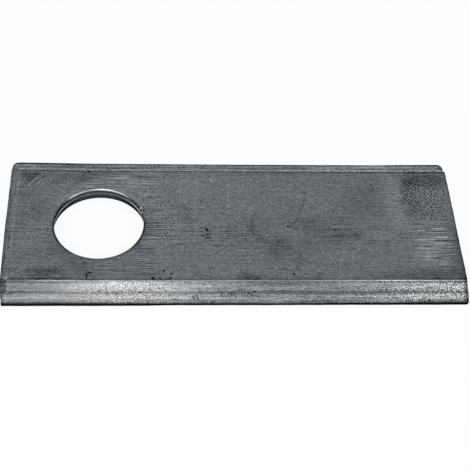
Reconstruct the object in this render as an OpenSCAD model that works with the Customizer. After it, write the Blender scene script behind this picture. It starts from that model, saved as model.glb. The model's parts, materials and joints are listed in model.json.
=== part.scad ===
// Rotary mower blade: a flat bar with both long edges ground to a bevel on the upper face
// and one punched bore near an end, through which it swings on its pivot bolt.
// The origin is on the bore's axis at the underside, +X runs from the bore to the free end,
// +Y runs across the blade to its rear edge and +Z points up, out of the bevelled face.

/* [Bar] */
// Length of the blade along its long edges
blade_length = 96; // [70:1:140]
// Width of the blade from one cutting edge to the other
blade_width = 38.5; // [34:0.5:60]
// Thickness of the flat bar
bar_thickness = 3; // [2:0.25:4]

/* [Pivot bore] */
// Diameter of the bore
bore_diameter = 19; // [10:0.5:26]
// Distance from the bore end of the blade to the bore's axis
bore_to_end = 19.5; // [16:0.5:30]
// Height and width of the broken upper rim of the bore
bore_rim = 0.3; // [0.1:0.05:0.6]

/* [Ground edges] */
// Width of each ground bevel, seen from above
bevel_width = 4.3; // [3.4:0.1:6]
// Height of the blunt land that is left under each bevel
edge_land = 0.5; // [0.2:0.05:1]
// Distance from the cutting edge to the step between the two grinds, seen from above
step_to_edge = 1.75; // [1:0.05:2.5]
// Width of that step, seen from above
step_width = 0.3; // [0.1:0.05:0.5]
// Fall of that step from its upper to its lower line
step_fall = 0.05; // [0.01:0.01:0.15]

/* [Cut ends] */
// Length of the band at the bore end where shearing pulled the upper face down
roll_length = 1.6; // [0.8:0.1:2.4]
// Radius of that rolled band, in the plane along the blade
roll_radius = 5; // [4:0.25:10]
// Corner radius in plan at the bore end, rear edge
bore_end_rear_corner = 1.5; // [0.2:0.1:4]
// Corner radius in plan at the bore end, front edge
bore_end_front_corner = 0.3; // [0.2:0.1:4]
// Corner radius in plan at the free end, rear edge
free_end_rear_corner = 0.9; // [0.2:0.1:4]
// Corner radius in plan at the free end, front edge
free_end_front_corner = 0.5; // [0.2:0.1:4]

/* [Hidden] */
$fn = 96;
steel_grey = [0.40, 0.42, 0.43];

// The blade's ends and edges in the frame of the bore
bore_end_x = -bore_to_end;
free_end_x = blade_length - bore_to_end;
edge_y = blade_width / 2;
roll_start_x = bore_end_x + roll_length;

// The bevel's two grinds are parallel, with the step between them
grind_slope = (bar_thickness - edge_land - step_fall) / (bevel_width - step_width);
ridge_y = edge_y - bevel_width;
step_outer_y = edge_y - step_to_edge;
step_inner_y = step_outer_y - step_width;
step_low_z = edge_land + grind_slope * step_to_edge;
step_high_z = step_low_z + step_fall;

// The rolled band turns about a line across the blade, at or below its underside
roll_axis_z = bar_thickness - roll_radius;
roll_turn = 90;
// Where the lower grind, carried on outwards and down, reaches the height of that line
grind_foot_y = edge_y + (edge_land - roll_axis_z) / grind_slope;

// A square corner of the given radius's size, less the quarter circle that stays
// dx and dy are 1 or -1 and point from the blade's middle to the corner
module corner_waste(x, y, dx, dy, radius) {
    difference() {
        translate([x, y]) square(2 * radius, center = true);
        translate([x - dx * radius, y - dy * radius]) circle(radius);
    }
}

// The sheared blank seen from above, with its four corners rounded
module blank_outline() {
    difference() {
        translate([bore_end_x, -edge_y]) square([blade_length, blade_width]);
        corner_waste(bore_end_x, edge_y, -1, 1, bore_end_rear_corner);
        corner_waste(bore_end_x, -edge_y, -1, -1, bore_end_front_corner);
        corner_waste(free_end_x, edge_y, 1, 1, free_end_rear_corner);
        corner_waste(free_end_x, -edge_y, 1, -1, free_end_front_corner);
    }
}

// Section of the ground face across the blade, as [height above the roll's line, across]
module ground_section() {
    rear_half = [
        [0, grind_foot_y],
        [step_low_z - roll_axis_z, step_outer_y],
        [step_high_z - roll_axis_z, step_inner_y],
        [roll_radius, ridge_y]
    ];
    front_half = [for (i = [len(rear_half) - 1 : -1 : 0]) [rear_half[i].x, -rear_half[i].y]];
    polygon(concat(rear_half, front_half));
}

// Everything under the face and the bevels: straight along the blade, then turned down
// about the roll's line, so that the face and the bevels roll over together at the bore end
module ground_form() {
    translate([free_end_x, 0, roll_axis_z])
        rotate([0, -90, 0])
            linear_extrude(blade_length - roll_length)
                ground_section();
    translate([roll_start_x, 0, roll_axis_z])
        rotate([90, -90, 0])
            rotate_extrude(angle = roll_turn)
                ground_section();
}

// The punched bore and its broken upper rim, both carried past the faces
module bore_cut() {
    translate([0, 0, -bar_thickness])
        cylinder(h = 3 * bar_thickness, d = bore_diameter);
    translate([0, 0, bar_thickness - bore_rim])
        cylinder(h = 2 * bore_rim, d1 = bore_diameter, d2 = bore_diameter + 4 * bore_rim);
}

// The whole blade: the blank under its ground form, less the bore
module mower_blade() {
    color(steel_grey)
        difference() {
            intersection() {
                linear_extrude(2 * bar_thickness) blank_outline();
                ground_form();
            }
            bore_cut();
        }
}

mower_blade();
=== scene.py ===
"""Looks of a rotary mower blade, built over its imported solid.

The blade is one sheared, punched and ground steel bar, so it is one piece: a fine mesh of the same
form, which stands for the solid and carries what the solid leaves out, such as softened ridges, a
ragged grind, pits and marks. Lengths in the classes are millimetres in the blade's own frame, with
the origin on the bore's axis at the underside, +X to the free end, +Y to the rear edge and +Z out
of the bevelled face. They become metres when the mesh is made.
"""
import json
import logging
import math
from collections.abc import Mapping, Sequence
from dataclasses import dataclass
from enum import Enum, IntEnum
from typing import Any

import bpy
import numpy as np
import numpy.typing as npt
from mathutils import Matrix, Vector


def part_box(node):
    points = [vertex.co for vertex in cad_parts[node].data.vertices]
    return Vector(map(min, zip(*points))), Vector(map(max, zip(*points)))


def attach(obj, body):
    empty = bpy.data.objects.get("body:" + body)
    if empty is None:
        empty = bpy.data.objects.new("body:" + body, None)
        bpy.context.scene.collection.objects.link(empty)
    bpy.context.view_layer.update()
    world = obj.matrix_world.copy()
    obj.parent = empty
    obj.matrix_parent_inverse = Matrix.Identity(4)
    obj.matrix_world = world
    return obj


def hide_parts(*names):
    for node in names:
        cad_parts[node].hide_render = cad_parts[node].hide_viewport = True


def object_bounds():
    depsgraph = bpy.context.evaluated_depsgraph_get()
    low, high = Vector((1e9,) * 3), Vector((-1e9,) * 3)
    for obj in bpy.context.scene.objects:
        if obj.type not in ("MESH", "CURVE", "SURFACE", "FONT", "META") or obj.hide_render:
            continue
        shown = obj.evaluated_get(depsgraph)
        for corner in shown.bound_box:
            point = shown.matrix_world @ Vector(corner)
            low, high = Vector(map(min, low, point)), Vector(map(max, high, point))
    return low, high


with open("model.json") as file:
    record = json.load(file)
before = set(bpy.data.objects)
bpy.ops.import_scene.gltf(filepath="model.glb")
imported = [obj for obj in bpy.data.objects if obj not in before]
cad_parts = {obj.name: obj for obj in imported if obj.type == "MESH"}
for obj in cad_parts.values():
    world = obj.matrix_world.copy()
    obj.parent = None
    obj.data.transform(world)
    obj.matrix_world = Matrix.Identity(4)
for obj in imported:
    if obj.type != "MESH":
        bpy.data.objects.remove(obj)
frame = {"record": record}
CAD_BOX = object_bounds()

Array = npt.NDArray[np.float64]
Index = npt.NDArray[np.int64]
Socket = bpy.types.NodeSocket

LOG = logging.getLogger("mower_blade")
NODE = "mower_blade"
PIVOT = "pivot_bore"
# Metres in a millimetre
MM = 0.001
# Scale at which a Wave texture repeats once a unit
WAVE_SCALE = math.pi / 10
# How much of the finer detail a Noise texture takes in
NOISE_ROUGHNESS = 0.62
# A mark fades out between these shares of its half length and half width
MARK_BORDER = (0.7, 1.3)
# A length too small to matter, which keeps a comparison or a division safe
TINY = 1e-6


class Zone(IntEnum):
    """The blade's surfaces by how they were made, in the order of the material slots."""

    FACE = 0
    FRONT_BEVEL = 1
    REAR_BEVEL = 2
    SHEAR = 3
    BORE = 4


class Field(Enum):
    """Names of the values that the mesh carries at its points for the finishes to read.

    TONE is a change of tone, which carries stains and also painted light and shade, and CLEAN how
    far the steel is bared. The others say how strongly one pattern of a finish shows at a place.
    """

    TONE = "tone"
    CLEAN = "clean"
    GRAIN = "grain"
    SPECKS = "specks"
    BRUSH = "brush"
    STREAK = "streak"
    HATCH = "hatch"
    ARCS = "arcs"
    STROKES = "strokes"
    ROLLED = "rolled"


class Texture(Enum):
    """Kinds of pattern: noise, rings about a point, or lines across the pattern's own first axis."""

    NOISE = "noise"
    RINGS = "rings"
    LINES = "lines"


def linear(code: str) -> tuple[float, float, float, float]:
    """Turns an sRGB hex colour into linear red, green, blue and an alpha of 1.

    Args:
        code: six hex digits with a leading hash.

    Returns:
        The colour as a shader socket takes it.
    """
    parts = [int(code[i : i + 2], 16) / 255 for i in (1, 3, 5)]
    red, green, blue = (p / 12.92 if p <= 0.04045 else ((p + 0.055) / 1.055) ** 2.4 for p in parts)
    return red, green, blue, 1.0


def add(
    tree: bpy.types.NodeTree,
    kind: str,
    settings: Mapping[str | int, Any] | None = None,
    links: Mapping[str | int, Socket] | None = None,
) -> bpy.types.Node:
    """Adds a shader node, sets its properties and plain sockets, and links the rest.

    Args:
        tree: the node tree that gets the node.
        kind: the node's type name.
        settings: values by property name, or by socket name or number.
        links: output sockets by the name or number of the input socket that they feed.

    Returns:
        The new node.
    """
    node = tree.nodes.new(kind)
    for key, value in (settings or {}).items():
        if isinstance(key, str) and hasattr(node, key):
            setattr(node, key, value)
        else:
            node.inputs[key].default_value = value
    for key, source in (links or {}).items():
        tree.links.new(source, node.inputs[key])
    return node


def lines_between(stops: Sequence[float], pitch: float) -> Array:
    """Grid lines through every stop, with equal steps of about pitch between two stops.

    Args:
        stops: places that get a line, in rising order.
        pitch: the wanted step.

    Returns:
        The places of all the lines, in rising order.
    """
    parts = [
        np.linspace(low, high, max(1, round((high - low) / pitch)), endpoint=False)
        for low, high in zip(stops, stops[1:])
    ]
    return np.concatenate([*parts, [stops[-1]]])


def ease(low: float, high: float, value: Array) -> Array:
    """Smooth step from 0 at low to 1 at high: 3t^2 - 2t^3 of the clipped share t."""
    t = np.clip((value - low) / (high - low), 0.0, 1.0)
    return t * t * (3.0 - 2.0 * t)


def bell(value: Array, middle: float, width: float | Array) -> Array:
    """Bell curve of height 1: exp(-((value - middle) / width)^2)."""
    return np.exp(-(((value - middle) / width) ** 2))


def lopsided(value: Array, middle: float, before: float, after: float) -> Array:
    """Bell curve of height 1 with one width before its middle and another after it."""
    return bell(value, middle, np.where(value < middle, before, after))


def soft_min(a: Array, b: Array, blend: float) -> Array:
    """Lower of two heights, rounded where they cross: -blend log(exp(-a/blend) + exp(-b/blend))."""
    return -blend * np.logaddexp(-a / blend, -b / blend)


def soft_max(a: Array, b: Array, blend: float) -> Array:
    """Higher of two heights, rounded where they cross, the mirror of soft_min."""
    return blend * np.logaddexp(a / blend, b / blend)


@dataclass(frozen=True)
class Ripple:
    """An uneven line: its height, the wavelengths of its sines in millimetres, and a seed."""

    height: float
    lengths: tuple[float, ...]
    seed: int

    def at(self, place: Array) -> Array:
        """Height times the mean of sin(2 pi place / length + phase), each with a chance phase.

        Args:
            place: places along the line, in millimetres.

        Returns:
            Values between the height below and above 0.
        """
        phases = np.random.default_rng(self.seed).uniform(0.0, 2.0 * math.pi, len(self.lengths))
        waves = np.sin(2.0 * math.pi * place[..., None] / np.asarray(self.lengths) + phases)
        return self.height * waves.mean(axis=-1)


@dataclass(frozen=True)
class Swell:
    """An uneven surface: ripples of the given wavelengths, which run in chance directions."""

    height: float
    lengths: tuple[float, ...]
    seed: int

    def at(self, x: Array, y: Array) -> Array:
        """Height times the sum of the ripples over the square root of their number.

        Args:
            x: places along the blade, in millimetres.
            y: places across the blade, in millimetres.

        Returns:
            The value at each place.
        """
        ways = np.random.default_rng(self.seed).uniform(0.0, math.pi, len(self.lengths))
        parts = [
            Ripple(1.0, (length,), self.seed + i).at(x * math.cos(way) + y * math.sin(way))
            for i, (way, length) in enumerate(zip(ways, self.lengths))
        ]
        return self.height * np.sum(parts, axis=0) / math.sqrt(len(self.lengths))


@dataclass(frozen=True)
class Course:
    """A value that changes along a line: a level, smooth steps and humps, all added up.

    A step is its height, where it starts and where it ends, which may be on either side. A hump is
    its height, its middle and its width.
    """

    level: float = 0.0
    steps: tuple[tuple[float, float, float], ...] = ()
    humps: tuple[tuple[float, float, float], ...] = ()

    def at(self, place: Array) -> Array:
        """The level, plus each step's height times ease and each hump's height times bell.

        Args:
            place: places along the line.

        Returns:
            The value at each place.
        """
        value = np.full_like(place, self.level)
        for height, start, end in self.steps:
            value += height * ease(start, end, place)
        for height, middle, width in self.humps:
            value += height * bell(place, middle, width)
        return value


@dataclass(frozen=True)
class Streak:
    """A line or band on a bevel: a course along the blade times a course inward from the edge."""

    along: Course
    inward: Course

    def at(self, x: Array, inward: Array) -> Array:
        """The product of the two courses at each point."""
        return self.along.at(x) * self.inward.at(inward)


@dataclass(frozen=True)
class Mark:
    """A soft patch on the blade: strength times exp(-(u^2 + v^2)^edge) in its own turned axes.

    u and v are the distances along and across the patch over its half length and half width. An
    edge above 1 gives a flatter middle with a quicker border. z is the height of the face that
    carries it, and depth how far from there it still shows.
    """

    x: float
    y: float
    half_length: float
    half_width: float
    strength: float
    turn: float = 0.0
    edge: float = 1.0
    z: float = 3.0
    depth: float = 1.0

    def spread(self, x: Array, y: Array) -> Array:
        """Strength of the patch at each point.

        Args:
            x: places along the blade, in millimetres.
            y: places across the blade, in millimetres.

        Returns:
            The patch's value at each place.
        """
        angle = math.radians(self.turn)
        dx, dy = x - self.x, y - self.y
        u = (dx * math.cos(angle) + dy * math.sin(angle)) / self.half_length
        v = (dy * math.cos(angle) - dx * math.sin(angle)) / self.half_width
        return self.strength * np.exp(-((u * u + v * v) ** self.edge))

    def draw(self, tree: bpy.types.NodeTree, place: Socket, border: Socket) -> Socket:
        """Draws the patch in a material, for patches finer than the mesh.

        Args:
            tree: the material's node tree.
            place: the Object coordinates.
            border: a small noise that makes the patch's border ragged.

        Returns:
            The strength inside the patch and 0 outside.
        """
        spot = {
            "vector_type": "TEXTURE",
            "Location": (self.x * MM, self.y * MM, self.z * MM),
            "Rotation": (0.0, 0.0, math.radians(self.turn)),
            "Scale": (self.half_length * MM, self.half_width * MM, self.depth * MM),
        }
        own = add(tree, "ShaderNodeMapping", spot, {"Vector": place}).outputs[0]
        reach = add(tree, "ShaderNodeVectorMath", {"operation": "LENGTH"}, {0: own}).outputs["Value"]
        ragged = add(tree, "ShaderNodeMath", {"operation": "ADD"}, {0: reach, 1: border}).outputs[0]
        step = {"interpolation_type": "SMOOTHSTEP", "To Min": self.strength, "To Max": 0.0}
        step.update(zip(("From Min", "From Max"), MARK_BORDER))
        return add(tree, "ShaderNodeMapRange", step, {"Value": ragged}).outputs[0]


def total(marks: Mapping[str, Mark], x: Array, y: Array) -> Array:
    """Sum of the patches at each point."""
    return np.sum([mark.spread(x, y) for mark in marks.values()], axis=0)


def strongest(marks: Mapping[str, Mark], x: Array, y: Array) -> Array:
    """Highest of the patches at each point."""
    return np.max([mark.spread(x, y) for mark in marks.values()], axis=0)


# Where the face is darker or lighter than the rest, as a share of its tone: stains, smudges and
# haze of oil and oxide, and patches of painted shade and light, most of them round the bore and at
# the free end
FACE_TONES: dict[str, Mark] = {
    "rear corner smudge": Mark(-14.9, 13.3, 2.6, 1.5, -0.34, edge=1.4),
    "rear corner haze": Mark(-15.5, 10.0, 2.6, 4.5, -0.11, edge=1.6),
    "rear corner tail": Mark(-12.6, 13.9, 2.0, 0.9, -0.16),
    "shade of bore end": Mark(-17.4, 5.3, 0.9, 3.0, -0.11),
    "smudge behind bore": Mark(-6.3, 13.1, 4.0, 1.4, -0.18, edge=1.4),
    "strip behind bore": Mark(2.0, 13.9, 3.2, 0.9, -0.15),
    "blot beside rear pits": Mark(-3.9, 12.4, 1.6, 1.1, -0.16),
    "haze left of bore": Mark(-13.6, 3.4, 2.2, 2.6, -0.13),
    "pale left of bore": Mark(-14.5, -4.0, 2.4, 2.0, 0.06),
    "front corner smudge": Mark(-10.6, -13.0, 4.0, 1.5, -0.36, edge=1.6),
    "pale front corner": Mark(-14.2, -11.2, 2.0, 1.3, 0.13),
    "smudge before bore": Mark(-3.6, -11.8, 2.9, 1.4, -0.22, turn=-50.0),
    "shade before bore": Mark(6.0, -12.6, 7.5, 1.9, -0.12, edge=1.5),
    "shade front left of bore": Mark(-8.3, -7.2, 1.5, 2.4, -0.2, turn=45.0),
    "shade at bore front": Mark(4.3, -10.1, 2.2, 0.8, -0.14),
    "shade rear right of bore": Mark(10.5, 3.0, 1.0, 1.9, -0.2),
    "shade right of bore": Mark(9.2, -5.4, 2.9, 1.1, -0.2, turn=60.0),
    "pale rear left of bore": Mark(-9.4, 7.2, 2.4, 1.8, 0.12, turn=50.0),
    "pale rear right of bore": Mark(8.8, 8.6, 2.2, 1.5, 0.18, turn=-45.0),
    "shade far right of bore": Mark(11.2, 1.0, 0.9, 4.0, -0.12),
    "bow of old oil": Mark(17.4, 4.6, 3.0, 1.0, -0.17, turn=-62.0),
    "bow end": Mark(18.9, 0.9, 1.8, 0.8, -0.13, turn=80.0),
    "stain round mid pits": Mark(22.9, -3.0, 2.2, 1.2, -0.14, turn=75.0),
    "faint mid stain": Mark(27.0, -2.3, 1.8, 1.4, -0.10),
    "pale beside mid blot": Mark(30.2, 0.2, 1.2, 1.6, 0.1),
    "mid blot": Mark(32.4, -0.8, 2.0, 1.4, -0.12, turn=82.0),
    "trail one": Mark(34.4, -4.2, 2.0, 1.2, -0.18, turn=-50.0),
    "trail two": Mark(37.8, -5.1, 1.8, 1.4, -0.2),
    "trail three": Mark(37.0, -8.0, 1.7, 1.0, -0.25, turn=-50.0),
    "trail four": Mark(42.0, -9.2, 1.5, 1.2, -0.22, turn=-45.0),
    "long trail haze": Mark(40.0, -6.8, 7.0, 3.2, -0.08, edge=1.5),
    "arrow haze": Mark(44.0, 0.4, 3.0, 1.6, -0.16, edge=1.4),
    "haze behind long one": Mark(50.0, 1.4, 7.0, 2.0, -0.06, edge=1.5),
    "haze under trail": Mark(43.6, -6.2, 3.0, 1.8, -0.06),
    "rear mid strip": Mark(38.0, 14.2, 6.5, 0.8, -0.08),
    "rear mid blot": Mark(51.0, 9.8, 1.8, 1.6, -0.07),
    "long haze": Mark(50.5, -3.6, 5.8, 2.4, -0.12, edge=1.6),
    "haze knot": Mark(54.5, -3.2, 1.3, 1.1, -0.18),
    "rear haze": Mark(57.5, 5.0, 4.6, 3.2, -0.14, edge=1.4),
    "rear blot": Mark(57.6, 9.4, 3.2, 1.6, -0.18),
    "light band": Mark(64.1, 7.0, 1.9, 6.6, 0.17, edge=2.4),
    "dark end": Mark(71.4, 12.6, 5.6, 2.7, -0.32, edge=2.0),
    "dark end border": Mark(67.4, 7.4, 1.9, 6.4, -0.20, edge=2.2),
    "grey end": Mark(71.5, 4.6, 4.4, 3.6, -0.04, edge=1.6),
    "gap before streaks": Mark(68.7, -0.6, 2.0, 0.9, -0.27),
    "gap among streaks": Mark(69.7, -4.8, 1.4, 0.7, -0.12),
    "gap between streaks": Mark(68.5, -7.2, 1.8, 1.3, -0.18),
    "end of streaks": Mark(75.0, -2.4, 1.2, 1.3, -0.16),
    "pale under streaks": Mark(66.5, -10.3, 4.0, 1.2, 0.09),
    "streaked end": Mark(71.0, -5.4, 3.9, 6.6, 0.1, edge=2.2),
    "end corner shadow": Mark(71.4, -13.4, 6.4, 1.7, -0.26, edge=1.5),
    "free end shadow": Mark(76.4, -9.0, 2.0, 8.0, -0.22, edge=1.3),
    "front strip": Mark(62.0, -13.9, 6.0, 0.8, -0.16),
    "light over bore": Mark(4.4, 11.1, 5.6, 1.7, 0.18, edge=1.4),
    "light middle": Mark(16.5, 0.0, 13.0, 20.0, 0.036, edge=1.8),
    "light mid": Mark(20.5, 8.4, 11.0, 6.0, 0.09, edge=1.4),
    "ridge smear one": Mark(31.2, -14.1, 2.2, 0.9, -0.40),
    "ridge smear two": Mark(45.6, -14.2, 1.7, 0.7, -0.24),
}

# Corrosion pits, nicks and the ends of scratches: small, sharp and dark
FACE_PITS: dict[str, Mark] = {
    "rear pit left": Mark(-4.15, 14.5, 0.22, 0.2, -0.8),
    "rear pit middle": Mark(-3.45, 14.15, 0.34, 0.2, -0.7, turn=25.0),
    "rear pit right": Mark(-2.75, 14.6, 0.3, 0.26, -0.85, turn=-30.0),
    "rear pit tail": Mark(-2.2, 13.95, 0.4, 0.16, -0.55, turn=-15.0),
    "hook stem": Mark(-2.05, -13.9, 0.8, 0.2, -0.85, turn=84.0),
    "hook top": Mark(-1.55, -13.1, 0.55, 0.2, -0.85, turn=-8.0),
    "hook middle": Mark(-1.75, -13.85, 0.24, 0.2, -0.4, turn=35.0),
    "hook foot": Mark(-1.75, -14.65, 0.3, 0.18, -0.35, turn=-15.0),
    "mid pit one": Mark(22.8, -1.72, 0.56, 0.25, -0.95, turn=-56.0),
    "mid pit two": Mark(21.85, -3.28, 0.4, 0.22, -0.85),
    "mid pit three": Mark(23.05, -3.93, 0.55, 0.21, -0.85, turn=-4.0),
    "mid pit four": Mark(23.0, -2.98, 0.65, 0.17, -0.55),
    "mid pit five": Mark(23.5, -4.6, 0.3, 0.2, -0.5),
    "front pit one": Mark(11.4, -14.5, 0.36, 0.28, -0.9, turn=-30.0),
    "front pit two": Mark(12.95, -14.6, 0.24, 0.34, -0.85),
    "front pit three": Mark(13.65, -12.7, 0.28, 0.26, -0.75),
    "front pit four": Mark(15.3, -13.4, 0.25, 0.25, -0.65),
    "front pit five": Mark(14.9, -14.55, 0.4, 0.24, -0.8, turn=25.0),
    "front pit six": Mark(11.95, -14.85, 0.4, 0.16, -0.65),
    "front pit seven": Mark(14.1, -14.8, 0.5, 0.14, -0.55),
    "far front pit": Mark(40.5, -13.5, 0.3, 0.28, -0.85),
    "far dot one": Mark(43.7, 8.8, 0.2, 0.2, -0.5),
    "far dot two": Mark(43.5, 5.0, 0.22, 0.2, -0.4),
    "bow dot one": Mark(24.9, 4.1, 0.26, 0.18, -0.4),
    "bow dot two": Mark(26.4, 4.1, 0.24, 0.2, -0.4),
    "blot dot": Mark(31.2, 1.6, 0.4, 0.3, -0.25),
    "bore dot one": Mark(9.35, 3.5, 0.2, 0.26, -0.8),
    "bore dot two": Mark(9.2, 4.45, 0.2, 0.2, -0.7),
}

# Scratches, strokes of a brush, small blots, and specks where the oxide is knocked off: fine and
# shallow, lighter or darker
FACE_SCRATCHES: dict[str, Mark] = {
    "rear speck": Mark(23.92, 12.3, 0.14, 0.4, 1.3),
    "ridge speck": Mark(27.1, 14.7, 0.25, 0.14, 0.8),
    "rear dash": Mark(17.8, 13.3, 0.34, 0.14, 0.5),
    "front speck": Mark(28.8, -12.75, 0.4, 0.15, 0.9, turn=12.0),
    "bore speck one": Mark(8.8, 4.2, 0.24, 0.2, 1.7, turn=-40.0),
    "bore speck two": Mark(9.05, 3.1, 0.2, 0.26, 1.5),
    "corner speck": Mark(-18.3, -14.4, 0.34, 0.28, 1.6),
    "light line beside bore": Mark(10.5, -4.09, 1.2, 0.13, 0.5),
    "dark line beside bore": Mark(13.4, -3.57, 3.7, 0.13, -0.3),
    "arrow lower side": Mark(40.9, -1.08, 1.2, 0.3, -0.42, turn=-17.0),
    "arrow upper side": Mark(41.2, 0.1, 1.9, 0.24, -0.4, turn=40.0),
    "blot core": Mark(32.5, -0.94, 0.8, 0.4, -0.2),
    "blot rear side": Mark(32.4, 0.05, 0.7, 0.2, -0.16),
    "blot front side": Mark(32.6, -2.09, 1.0, 0.16, -0.2),
    "trail side": Mark(37.7, -5.0, 0.34, 0.7, -0.13),
    "trail front side": Mark(38.3, -6.08, 1.1, 0.22, -0.24),
    "trail dot": Mark(35.9, -2.73, 0.3, 0.22, -0.34),
    "trail speck": Mark(35.7, -3.3, 0.4, 0.14, 0.34),
    "trail dash": Mark(36.0, -3.62, 0.4, 0.15, -0.28),
    "slant": Mark(42.9, 3.2, 2.4, 0.26, -0.26, turn=66.0),
    "slant top": Mark(44.1, 7.0, 2.0, 0.22, -0.24, turn=80.0),
    "long line one": Mark(47.1, -1.63, 5.4, 0.18, -0.3),
    "long line two": Mark(48.2, -3.55, 4.0, 0.18, -0.32),
    "streak one": Mark(72.9, -1.3, 1.8, 0.16, 0.75),
    "streak two": Mark(68.7, -1.86, 0.75, 0.17, 0.9),
    "streak three": Mark(72.9, -3.6, 1.5, 0.2, 0.8),
    "streak four": Mark(71.7, -5.13, 1.7, 0.15, 0.5),
    "streak five": Mark(68.5, -5.7, 0.9, 0.15, 0.5),
    "streak six": Mark(69.5, -8.9, 1.2, 0.16, 0.65),
    "streak seven": Mark(69.1, -9.45, 0.9, 0.16, 0.65),
    "streak eight": Mark(72.8, 0.38, 0.7, 0.15, 0.5),
    "long streak": Mark(66.0, 0.38, 7.5, 0.14, 0.28),
    "groove one": Mark(72.6, -2.0, 1.6, 0.14, -0.35),
    "groove two": Mark(72.2, -3.0, 1.9, 0.14, -0.4),
    "groove three": Mark(68.9, -2.4, 0.9, 0.14, -0.35),
    "end stripe": Mark(-17.45, 12.6, 0.14, 2.0, 0.36, turn=-4.0),
    "corner stroke one": Mark(-14.55, 11.83, 1.9, 0.17, 0.55, turn=61.8),
    "corner stroke two": Mark(-13.4, 11.5, 0.85, 0.17, 0.42, turn=62.0),
    "corner stroke three": Mark(-12.25, 13.6, 0.85, 0.17, 0.36, turn=53.0),
}

# Drags and nicks of single grits on the front bevel, along the step and on the lower grind
BEVEL_SCRATCHES: dict[str, Mark] = {
    "step run-out": Mark(-17.5, -17.4, 1.0, 0.13, -0.4, turn=24.0, z=1.6),
    "light nick one": Mark(-4.9, -16.75, 0.18, 0.26, -0.3, turn=-20.0, z=1.95),
    "light nick two": Mark(-0.5, -17.08, 0.2, 0.24, -0.3, z=1.76),
    "light nick three": Mark(3.36, -16.98, 0.3, 0.18, -0.5, z=1.82),
    "lower nick one": Mark(19.72, -18.05, 0.22, 0.48, -0.65, turn=30.0, z=1.2),
    "lower nick two": Mark(20.42, -18.0, 0.22, 0.48, -0.65, turn=30.0, z=1.2),
    "slanted nick": Mark(21.0, -16.85, 0.45, 0.24, -0.34, turn=-45.0, z=1.9),
    "step smear one": Mark(25.4, -17.5, 0.26, 0.55, -0.34, z=1.55),
    "step smear two": Mark(27.7, -17.4, 0.9, 0.36, -0.26, z=1.58),
    "step nick one": Mark(31.0, -17.35, 0.24, 0.3, -0.42, z=1.6),
    "step nick two": Mark(31.6, -17.7, 0.42, 0.22, -0.36, turn=-40.0, z=1.4),
    "step nick three": Mark(32.2, -17.05, 0.28, 0.22, -0.38, z=1.78),
    "foot nick": Mark(23.7, -18.85, 0.5, 0.14, -0.3, turn=15.0, z=0.73),
}

# A burr on the right of the bore's rim: two bright specks with a dark gap between them
BORE_NICKS: dict[str, Mark] = {
    "burr one": Mark(8.55, 4.0, 0.3, 0.24, 1.7, z=2.8, depth=0.35),
    "burr gap": Mark(8.8, 3.6, 0.24, 0.18, -0.6, z=2.8, depth=0.35),
    "burr two": Mark(9.0, 3.25, 0.3, 0.3, 1.8, z=2.8, depth=0.35),
}

# Patches where a pattern of the face shows, by pattern
FACE_PATTERNS: dict[Field, dict[str, Mark]] = {
    Field.BRUSH: {
        "bore end": Mark(-16.0, 0.0, 6.0, 16.0, 0.35, edge=2.0),
        "behind bore": Mark(4.0, 11.6, 9.0, 2.9, 1.25, edge=2.0),
        "before bore": Mark(2.0, -12.0, 8.0, 2.6, 0.5, edge=1.6),
        "right before bore": Mark(9.5, -11.0, 4.0, 3.2, 0.85, edge=1.6),
        "left of bore": Mark(-10.6, -4.0, 1.6, 4.5, 0.6, edge=1.6),
        "right of bore": Mark(11.5, 0.0, 5.5, 9.0, 0.95, edge=1.6),
        "right of that": Mark(18.0, 0.0, 5.0, 6.5, 0.4, edge=1.6),
        "mid": Mark(32.0, -4.0, 15.0, 4.5, 0.42, edge=1.6),
        "towards free end": Mark(54.0, -2.0, 13.0, 7.0, 0.42, edge=1.6),
        "light band": Mark(63.5, 4.0, 3.0, 12.0, 0.52, edge=1.8),
        "free end": Mark(71.5, -5.4, 5.0, 7.4, 0.9, edge=2.2),
        "everywhere": Mark(28.0, 0.0, 90.0, 60.0, 0.12),
    },
    Field.STREAK: {
        "free end": Mark(70.8, -5.2, 4.6, 6.4, 1.0, edge=2.2),
        "light band": Mark(63.0, 7.0, 3.2, 6.8, 0.4, edge=2.0),
        "behind bore": Mark(5.0, 11.8, 8.0, 2.4, 0.35, edge=1.6),
        "before bore": Mark(5.0, -12.4, 5.0, 2.0, 0.4, edge=1.6),
    },
    Field.HATCH: {
        "rear of free end": Mark(71.0, 7.4, 5.9, 7.4, 1.2, edge=2.8),
        "its left border": Mark(67.9, 8.8, 2.2, 4.6, 1.7, edge=2.2),
        "left of bore": Mark(-13.6, 3.0, 3.0, 4.0, 0.4, edge=1.4),
        "right of bore": Mark(14.5, 1.0, 6.0, 7.0, 0.62, edge=1.6),
        "rear corner": Mark(-16.0, 12.0, 4.0, 4.0, 0.6, edge=1.4),
        "before bore": Mark(0.0, -12.2, 4.5, 2.2, 0.35),
        "mid": Mark(30.0, -3.0, 12.0, 3.6, 0.3, edge=1.6),
        "front": Mark(40.0, -12.6, 4.0, 2.6, 0.55),
    },
    Field.ARCS: {
        "front corner": Mark(-14.0, -9.6, 4.8, 4.2, 1.0, edge=1.4),
        "left of bore": Mark(-13.5, 1.0, 3.2, 5.0, 0.4),
    },
    Field.STROKES: {
        "rear corner": Mark(-14.2, 12.0, 3.4, 3.2, 1.0, edge=1.6),
    },
}


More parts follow.
